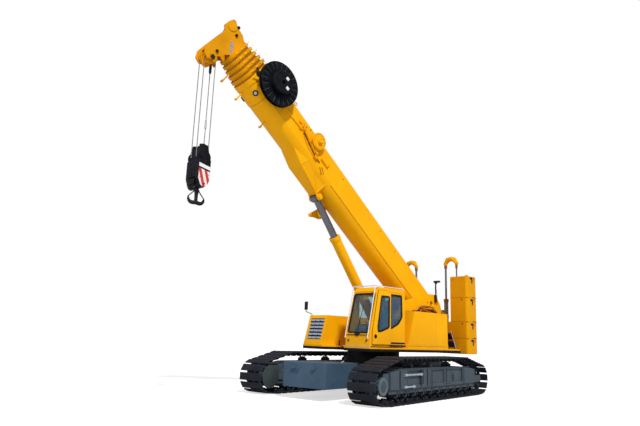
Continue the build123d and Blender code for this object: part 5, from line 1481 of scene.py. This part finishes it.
def makeHoodTrim():
    # louvres, seams, handles, exhaust stub and vents of the engine housing
    hood = {
        "louvreX": (-2.3, -1.85, -1.4, -0.95), "louvreWide": (0.001, 0.299), "louvreRows": 7,
        "louvreZ": 2.065,
        "louvrePitch": 0.04, "seams": (1.3, 0.4, -0.5, -1.4, -2.55), "seamRise": (1.6, 2.46),
        "topSeams": (1.1, -0.5, -2.1), "rearSeams": (1.62, 2.4), "handles": (0.85, -0.05, -0.95, -1.95),
        "grips": (-2.2, -1.0), "gripY": (-1.3, -0.8), "exhaust": (-1.7, -1.02),
        "vents": (-0.1, 0.2, 0.5, 0.8),
    }
    face, top, rear = house["hoodFace"], house["hoodTop"], house["hoodRear"]
    shape = bmesh.new()
    near, far = hood["louvreWide"]
    for x in hood["louvreX"]:
        for row in range(hood["louvreRows"]):
            z = hood["louvreZ"] + row * hood["louvrePitch"]
            outline = [(face + 0.03, z), (face + 0.004, z + 0.026), (face + 0.006, z + 0.03),
                       (face + 0.034, z + 0.005)]
            addPlate(shape, outline, x + near, x + far, "YZ")
    finishPiece("hood_louvres", shape, "dark", "superstructure")
    shape = bmesh.new()
    low, high = hood["seamRise"]
    for x in hood["seams"]:
        addBlock(shape, (x - 0.003, face - 0.0015, low), (x + 0.003, face + 0.002, high))
    addBlock(shape, (-2.68, face - 0.0015, low), (1.72, face + 0.002, low + 0.006))
    for x in hood["topSeams"]:
        addBlock(shape, (x - 0.003, -1.44, top - 0.002), (x + 0.003, -0.66, top + 0.0015))
    for z in hood["rearSeams"]:
        addBlock(shape, (rear - 0.002, -1.4, z), (rear + 0.001, -0.7, z + 0.006))
    finishPiece("hood_seams", shape, "seam", "superstructure")
    shape = bmesh.new()
    for x in hood["handles"]:
        addBlock(shape, (x - 0.06, face - 0.012, 1.93), (x + 0.06, face - 0.0005, 1.975))
        addBar(shape, (x - 0.04, face - 0.022, 1.952), (x + 0.04, face - 0.022, 1.952), 0.008, sides=8)
    for x in hood["grips"]:
        for y in hood["gripY"]:
            addBar(shape, (x, y, top + 0.014), (x + 0.16, y, top + 0.014), 0.01, sides=8)
    addBlock(shape, (rear - 0.012, -1.1, 2.02), (rear, -0.98, 2.06))
    soften(shape, 0.003, 1)
    finishPiece("hood_handles", shape, "plastic", "superstructure")
    shape = bmesh.new()
    for profile in ([(0.052, -0.004), (0.062, -0.004), (0.062, 0.3), (0.052, 0.3)],
                    [(0.064, 0.0), (0.084, 0.0), (0.084, 0.17), (0.064, 0.17)]):
        addProfile(shape, profile, (*hood["exhaust"], top), (0, 0, 1), 28)
    finishPiece("exhaust", shape, "forged", "superstructure")
    shape = bmesh.new()
    for x in hood["vents"]:
        addBlock(shape, (x, -1.34, top - 0.001), (x + 0.2, -0.78, top + 0.01))
    soften(shape, 0.004, 1)
    finishPiece("hood_vents", shape, "dark", "superstructure")


def makeLockerTrim():
    # the locker's seams, cap and top grips, the deck's posts behind the cab and its tread bars
    locker = {"seams": (-0.7, -1.4, -1.9), "cap": (-0.9, 1.06), "grips": (-1.3, -1.75), "gripY": (0.8, 1.3),
              "postX": 1.28, "postY": 0.36, "treads": (1.1, 1.22, 1.34, 1.44), "treadX": (-2.985, -2.3)}
    top, deck = house["lockerTop"], house["deckTop"]
    shape = bmesh.new()
    for x in locker["seams"]:
        addBlock(shape, (x, 0.66, top - 0.002), (x + 0.005, 1.46, top + 0.0012))
    addBlock(shape, (-2.2515, 0.7, 2.3), (-2.249, 1.42, 2.306))
    finishPiece("locker_seams", shape, "seam", "superstructure")
    shape = bmesh.new()
    addProfile(shape, [(0.001, 0.0), (0.075, 0.0), (0.075, 0.05), (0.062, 0.062), (0.001, 0.062)],
               (*locker["cap"], top - 0.002), (0, 0, 1), 28)
    for x in locker["grips"]:
        for y in locker["gripY"]:
            addBar(shape, (x, y, top + 0.012), (x + 0.14, y, top + 0.012), 0.01, sides=8)
    soften(shape, 0.003, 1)
    finishPiece("locker_handles", shape, "plastic", "superstructure")
    shape = bmesh.new()
    for y in (locker["postY"], -locker["postY"]):
        for low, high, radius in ((deck, 1.67, 0.02), (1.66, 1.7, 0.028)):
            addBar(shape, (locker["postX"], y, low), (locker["postX"], y, high), radius, sides=14)
    soften(shape, 0.003, 1)
    finishPiece("deck_posts", shape, "plastic", "superstructure")
    shape = bmesh.new()
    for y in locker["treads"]:
        rear, front = ((x, y, deck + 0.002) for x in locker["treadX"])
        addBar(shape, rear, front, 0.006, sides=6)
    finishPiece("deck_tread", shape, "cast", "superstructure")


# ropes over the boom and the head
reeving = {
    "line": 0.545, "boom": (-0.02, 10.86), "joint": 10.4, "drum": (-3.742, 0.0, 2.822),
    "guide": (12.22, 0.33), "guideRadius": 0.148, "nose": (12.098, -0.62), "radius": 0.012, "y": 0.177,
}


def makeHoistLine():
    # the hoist rope from the winch up over the boom, over the head and down to the nose
    rope, y, n = reeving["radius"], reeving["y"], reeving["line"]
    (rear, front), (s, guideN), radius = reeving["boom"], reeving["guide"], reeving["guideRadius"]
    shape = bmesh.new()
    for start, end in ((rear, reeving["joint"]), (reeving["joint"], front)):
        addBar(shape, (start, 0.0, n), (end, 0.0, n), rope, sides=12)
    finishPiece("hoist_line_base", shape, "rope", "boom", boomMatrix)
    shape = bmesh.new()
    addBar(shape, reeving["drum"], tuple(boomMatrix @ Vector((rear - 0.09, 0, n - 0.06))), rope, sides=12)
    finishPiece("hoist_line_foot", shape, "rope", "superstructure")
    shape = bmesh.new()
    middle = (s - 0.3, 0.04, n + 0.005)
    addBar(shape, (front + 0.02, 0.0, n), middle, rope, sides=12)
    addBar(shape, middle, (s, y, guideN + radius), rope, sides=12)
    arc = [math.radians(step * 10) for step in range(10)]
    addSweep(shape, [(s + radius * math.sin(a), y, guideN + radius * math.cos(a)) for a in arc],
             [rope] * len(arc), 12)
    addBar(shape, (s + radius, y, guideN + 0.01), (reeving["nose"][0], y, reeving["nose"][1]), rope, sides=12)
    finishPiece("hoist_line_head", shape, "rope", "section_5", boomMatrix)


def makeHeadTrim():
    # pins, slats and weld beads of the welded head
    head = {
        "face": 0.25, "nose": (11.93, -0.98), "boltCircle": 0.095, "topPin": {1: 0.494, -1: 0.3},
        "slats": 7, "firstSlat": (11.7, -0.34), "slatStep": (0.028, 0.048), "slatHalf": (0.075, 0.009),
        "bead": ((11.66, -0.4), (11.75, -0.6), (11.64, -0.72), (11.66, -0.77), (11.8, -0.745), (11.87, -0.83),
                 (11.78, -0.94)),
        "rim": {1: ((12.378, 0.105), (12.376, 0.33), (12.32, 0.53), (12.252, 0.553), (12.08, 0.466)),
                -1: ((12.238, 0.29), (12.078, 0.378), (11.83, 0.418))},
        "bars": 9, "barCircle": 0.205, "barHalf": 0.2,
    }
    face, (noseS, noseN) = head["face"], head["nose"]
    shape = bmesh.new()
    for side in (1, -1):
        for s, n, radius, high in ((11.944, 0.233, 0.045, 0.045), (12.069, head["topPin"][side], 0.05, 0.028),
                                   (11.972, -0.735, 0.044, 0.05), (noseS, noseN, 0.066, 0.034)):
            addPin(shape, (s, n), side * (face - 0.0005), side * (face + high), radius, 22)
        addBoltRing(shape, (noseS, side * face, noseN), head["boltCircle"], 6, (0, side, 0), 0.011, 0.01)
    soften(shape, 0.003, 1)
    finishPiece("head_pins", shape, "forged", "section_5", boomMatrix)
    shape = bmesh.new()
    long, thick = head["slatHalf"]
    for index in range(head["slats"]):
        s, n = (first + index * step for first, step in zip(head["firstSlat"], head["slatStep"]))
        for side in (1, -1):
            near, far = span(side, face + 0.0005, face + 0.016)
            addBlock(shape, (s - long, near, n - thick), (s + long, far, n + thick))
    soften(shape, 0.002, 1)
    finishPiece("head_slats", shape, "paleStrip", "section_5", boomMatrix)
    shape = bmesh.new()
    for side in (1, -1):
        for line, y, radius in ((head["bead"], side * (face + 0.004), 0.01),
                                (head["rim"][side], side * face, 0.009)):
            addSweep(shape, [(s, y, n) for s, n in line], [radius] * len(line), 8)
    for index in range(head["bars"]):
        turn = math.radians(-70 + index * 27)
        s, n = noseS + head["barCircle"] * math.cos(turn), noseN + head["barCircle"] * math.sin(turn)
        addSweep(shape, [(s, y, n) for y in (-head["barHalf"], head["barHalf"])], [0.011, 0.011], 8)
    finishPiece("head_welds", shape, "cast", "section_5", boomMatrix)


def makeLimitWeight():
    # the sleeve and the small weight on the third fall
    limit = {"x": 7.105, "y": -0.13, "sleeve": ((9.14, 9.4, 0.04, 0.04), (9.08, 9.14, 0.02, 0.04),
             (9.4, 9.46, 0.04, 0.02)), "weight": (7.42, 7.62), "eye": 7.64}
    x, y = limit["x"], limit["y"]
    shape = bmesh.new()
    for low, high, radius, topRadius in limit["sleeve"]:
        addBar(shape, (x, y, low), (x, y, high), radius, topRadius, 18)
    finishPiece("limit_sleeve", shape, "plastic", "hook_block")
    shape = bmesh.new()
    low, high = ((x, y, z) for z in limit["weight"])
    addBar(shape, low, high, 0.03, sides=18)
    addRing(shape, (x, y, limit["eye"]), (0, 1, 0), 0.022, 0.006, 20, 8)
    finishPiece("limit_weight", shape, "paleStrip", "hook_block")


for side, word in bothSides:
    makeFrameTrim(side, word)
    makeDriveCovers(side, word)
makeCarbodyTrim()
makeGrille()
makeHoodTrim()
makeLockerTrim()
makeHoistLine()
makeHeadTrim()
makeLimitWeight()
print("lower machine, hood and head trim made")


# tracks
chain = {
    "endRadius": 0.5, "endX": 3.3, "endZ": 0.53, "crownFront": 2.31, "crownRear": -2.05, "crownZ": 1.285,
    "ground": 2.95, "shoes": 56, "shoeLong": 0.232, "shoeWide": 0.9, "shoeThick": 0.042,
    "linkApart": 0.125, "linkThick": 0.034, "linkDeep": 0.155, "pinRadius": 0.03,
}


def touchPoint(centre, radius, point, side):
    dx, dz = point[0] - centre[0], point[1] - centre[1]
    angle = math.atan2(dz, dx) + side * math.acos(radius / math.hypot(dx, dz))
    return centre[0] + radius * math.cos(angle), centre[1] + radius * math.sin(angle)


def trackRuns():
    # straight and round runs of the shoes' outer faces, once round
    front, rear = (chain["endX"], chain["endZ"]), (-chain["endX"], chain["endZ"])
    radius = chain["endRadius"]
    crownFront, crownRear = (chain["crownFront"], chain["crownZ"]), (chain["crownRear"], chain["crownZ"])
    low = touchPoint(front, radius, (chain["ground"], 0), 1)
    high = touchPoint(front, radius, crownFront, -1)
    rearHigh = touchPoint(rear, radius, crownRear, 1)
    rearLow = touchPoint(rear, radius, (-chain["ground"], 0), -1)
    return [("arc", front, low, high), ("line", high, crownFront), ("line", crownFront, crownRear),
            ("line", crownRear, rearHigh), ("arc", rear, rearHigh, rearLow),
            ("line", rearLow, (-chain["ground"], 0)),
            ("line", (-chain["ground"], 0), (chain["ground"], 0)), ("line", (chain["ground"], 0), low)]


def runLength(run):
    if run[0] == "line":
        return math.dist(run[1], run[2])
    first, last = (math.atan2(p[1] - run[1][1], p[0] - run[1][0]) for p in run[2:])
    return ((last - first) % (2 * math.pi)) * chain["endRadius"]


def spotOnTrack(distance):
    # where a shoe sits, and the way that its outer face looks
    for run in trackRuns():
        length = runLength(run)
        if distance <= length:
            break
        distance -= length
    if run[0] == "line":
        (ax, az), (bx, bz) = run[1], run[2]
        share = distance / length
        return ax + (bx - ax) * share, az + (bz - az) * share, math.atan2(bz - az, bx - ax)
    centre, start = run[1], run[2]
    angle = math.atan2(start[1] - centre[1], start[0] - centre[0]) + distance / chain["endRadius"]
    return (centre[0] + chain["endRadius"] * math.cos(angle),
            centre[1] + chain["endRadius"] * math.sin(angle), angle + math.pi / 2)


def addShoe(shape, pitch):
    # flat shoe, its two links and a pin; outwards is -Z until it is seated
    half, thick, wide = chain["shoeLong"] / 2, chain["shoeThick"], chain["shoeWide"] / 2
    pad = addPlate(shape, [(-half, thick * 0.75), (-half + 0.004, thick * 0.22), (-half + 0.018, 0),
                           (half - 0.018, 0), (half - 0.004, thick * 0.22), (half, thick * 0.75),
                           (half - 0.01, thick), (-half + 0.01, thick)], -wide, wide)
    ends = [edge for edge in {edge for corner in pad for edge in corner.link_edges}
            if all(abs(abs(corner.co.y) - wide) < 1e-6 for corner in edge.verts)]
    bmesh.ops.bevel(shape, geom=ends, offset=0.01, offset_type="OFFSET", segments=1, profile=0.5,
                    affect="EDGES", clamp_overlap=True, material=-1)
    deep, apart, slim = chain["linkDeep"], chain["linkApart"], chain["linkThick"]
    reach = pitch / 2
    for side in (-1, 1):
        for lag, offset in ((0, 0.0), (1, slim + 0.004)):
            near = side * (apart + offset) - slim / 2
            edge = [(-reach - 0.02, deep - 0.055), (-reach + 0.01, deep), (-0.05, deep),
                    (-0.02, deep - 0.035),
                    (0.03, deep - 0.035), (0.05, deep - 0.01), (reach - 0.01, deep - 0.01),
                    (reach + 0.02, deep - 0.06),
                    (reach - 0.03, thick - 0.004), (-reach + 0.03, thick - 0.004)]
            if lag:
                edge = [(-reach - 0.03, deep - 0.075), (-reach + 0.02, deep - 0.03), (-0.06, thick + 0.02),
                        (-0.09, thick - 0.004), (-reach + 0.02, thick - 0.004)]
            addPlate(shape, edge, near, near + slim)
    addBar(shape, (reach, -0.19, deep - 0.055), (reach, 0.19, deep - 0.055), chain["pinRadius"], sides=10)


def makeTrack(side, word):
    total = sum(runLength(run) for run in trackRuns())
    pitch = total / chain["shoes"]
    one = bmesh.new()
    addShoe(one, pitch)
    mesh = bpy.data.meshes.new("oneShoe")
    one.to_mesh(mesh)
    one.free()
    shape = bmesh.new()
    for index in range(chain["shoes"]):
        x, z, turn = spotOnTrack((index + 0.5) * pitch)
        start = len(shape.verts)
        shape.from_mesh(mesh)
        shape.verts.ensure_lookup_table()
        seat = Matrix.Translation((x, side * place["trackMiddle"], z)) @ Matrix.Rotation(-turn, 4, "Y")
        bmesh.ops.transform(shape, matrix=seat, verts=shape.verts[start:])
    bpy.data.meshes.remove(mesh)
    piece = finishPiece(f"track_chain_{word}", shape, "track", "undercarriage", trackMatrix, smooth=30)
    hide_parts(f"track_{word}")


for side, word in bothSides:
    makeTrack(side, word)
print("tracks made")


# camera, light, floor
view = {
    "place": (14.8, 13.095, 1.737), "heading": 227.26, "pitch": 12.63, "roll": 2.04, "lens": 31.48,
    "sensor": 36, "reach": 400,
}
light = {
    "sun": {"spot": (6, 14, 16), "aim": (0, 0, 0), "power": 2.9, "spread": 5, "color": (1.0, 0.96, 0.9)},
    "frontFill": {"spot": (18, 4, 7), "aim": (0, 0, 3), "power": 330, "size": (9, 7),
                  "color": (1.0, 0.94, 0.96)},
    "sky": (0.94, 0.89, 0.97), "skyPower": 0.4,
}
ground = {"pale": (0.62, 0.62, 0.62), "deep": (0.58, 0.58, 0.585), "glow": 0.62, "half": 90}


def makeCamera():
    data = bpy.data.cameras.new("camera")
    data.lens = view["lens"]
    data.sensor_width = view["sensor"]
    data.clip_end = view["reach"]
    camera = bpy.data.objects.new("camera", data)
    bpy.context.scene.collection.objects.link(camera)
    heading, pitch, roll = (math.radians(view[key]) for key in ("heading", "pitch", "roll"))
    forward = Vector((math.cos(heading) * math.cos(pitch), math.sin(heading) * math.cos(pitch),
                      math.sin(pitch)))
    level = Vector((math.sin(heading), -math.cos(heading), 0))
    above = level.cross(forward)
    right = math.cos(roll) * level + math.sin(roll) * above
    up = -math.sin(roll) * level + math.cos(roll) * above
    turn = Matrix((right, up, -forward)).transposed().to_4x4()
    camera.matrix_world = Matrix.Translation(view["place"]) @ turn
    bpy.context.scene.camera = camera


def makeLight(name, kind):
    lamp = light[name]
    data = bpy.data.lights.new(name, kind)
    data.energy = lamp["power"]
    data.color = lamp["color"]
    if kind == "SUN":
        data.angle = math.radians(lamp["spread"])
    else:
        data.shape = "RECTANGLE"
        data.size, data.size_y = lamp["size"]
    holder = bpy.data.objects.new(name, data)
    bpy.context.scene.collection.objects.link(holder)
    holder.location = lamp["spot"]
    holder.rotation_mode = "QUATERNION"
    holder.rotation_quaternion = (Vector(lamp["aim"]) - Vector(lamp["spot"])).to_track_quat("-Z", "Y")


def makeFloor():
    # pale ground that takes the shadow and glows to white for the camera alone
    page = Finish("paleFloor")
    color = page.blend(page.noise(0.6, 3) * 0.3, ground["pale"], ground["deep"])
    page.setShader(color=color, rough=0.9)
    glow = page.node("ShaderNodeEmission", {}, {"Color": (1, 1, 1, 1), "Strength": ground["glow"]})
    both = page.node("ShaderNodeAddShader", {}, [page.shader.outputs[0], glow.outputs[0]])
    ways = [page.seenByCamera(), page.shader.outputs[0], both.outputs[0]]
    mixed = page.node("ShaderNodeMixShader", {}, ways)
    page.join(page.output.inputs["Surface"], mixed.outputs[0])
    shape = bmesh.new()
    bmesh.ops.create_grid(shape, x_segments=4, y_segments=4, size=ground["half"])
    mesh = bpy.data.meshes.new("floor")
    shape.to_mesh(mesh)
    shape.free()
    mesh.materials.append(page.material)
    floor = bpy.data.objects.new("floor", mesh)
    bpy.context.scene.collection.objects.link(floor)


def makeSky():
    # a soft sky for the crane, plain white for the camera
    world = bpy.data.worlds.new("softSky")
    bpy.context.scene.world = world
    world.use_nodes = True
    page = Sheet(world.node_tree)
    sky = page.node("ShaderNodeBackground", {}, {"Color": (*light["sky"], 1), "Strength": light["skyPower"]})
    white = page.node("ShaderNodeBackground", {}, {"Color": (1, 1, 1, 1), "Strength": 1.0})
    mixed = page.node("ShaderNodeMixShader", {}, [page.seenByCamera(), sky.outputs[0], white.outputs[0]])
    page.node("ShaderNodeOutputWorld", {}, {"Surface": mixed.outputs[0]})


makeCamera()
makeFloor()
makeSky()
makeLight("sun", "SUN")
makeLight("frontFill", "AREA")
bpy.context.scene.view_settings.view_transform = "Standard"
print("camera and light set")
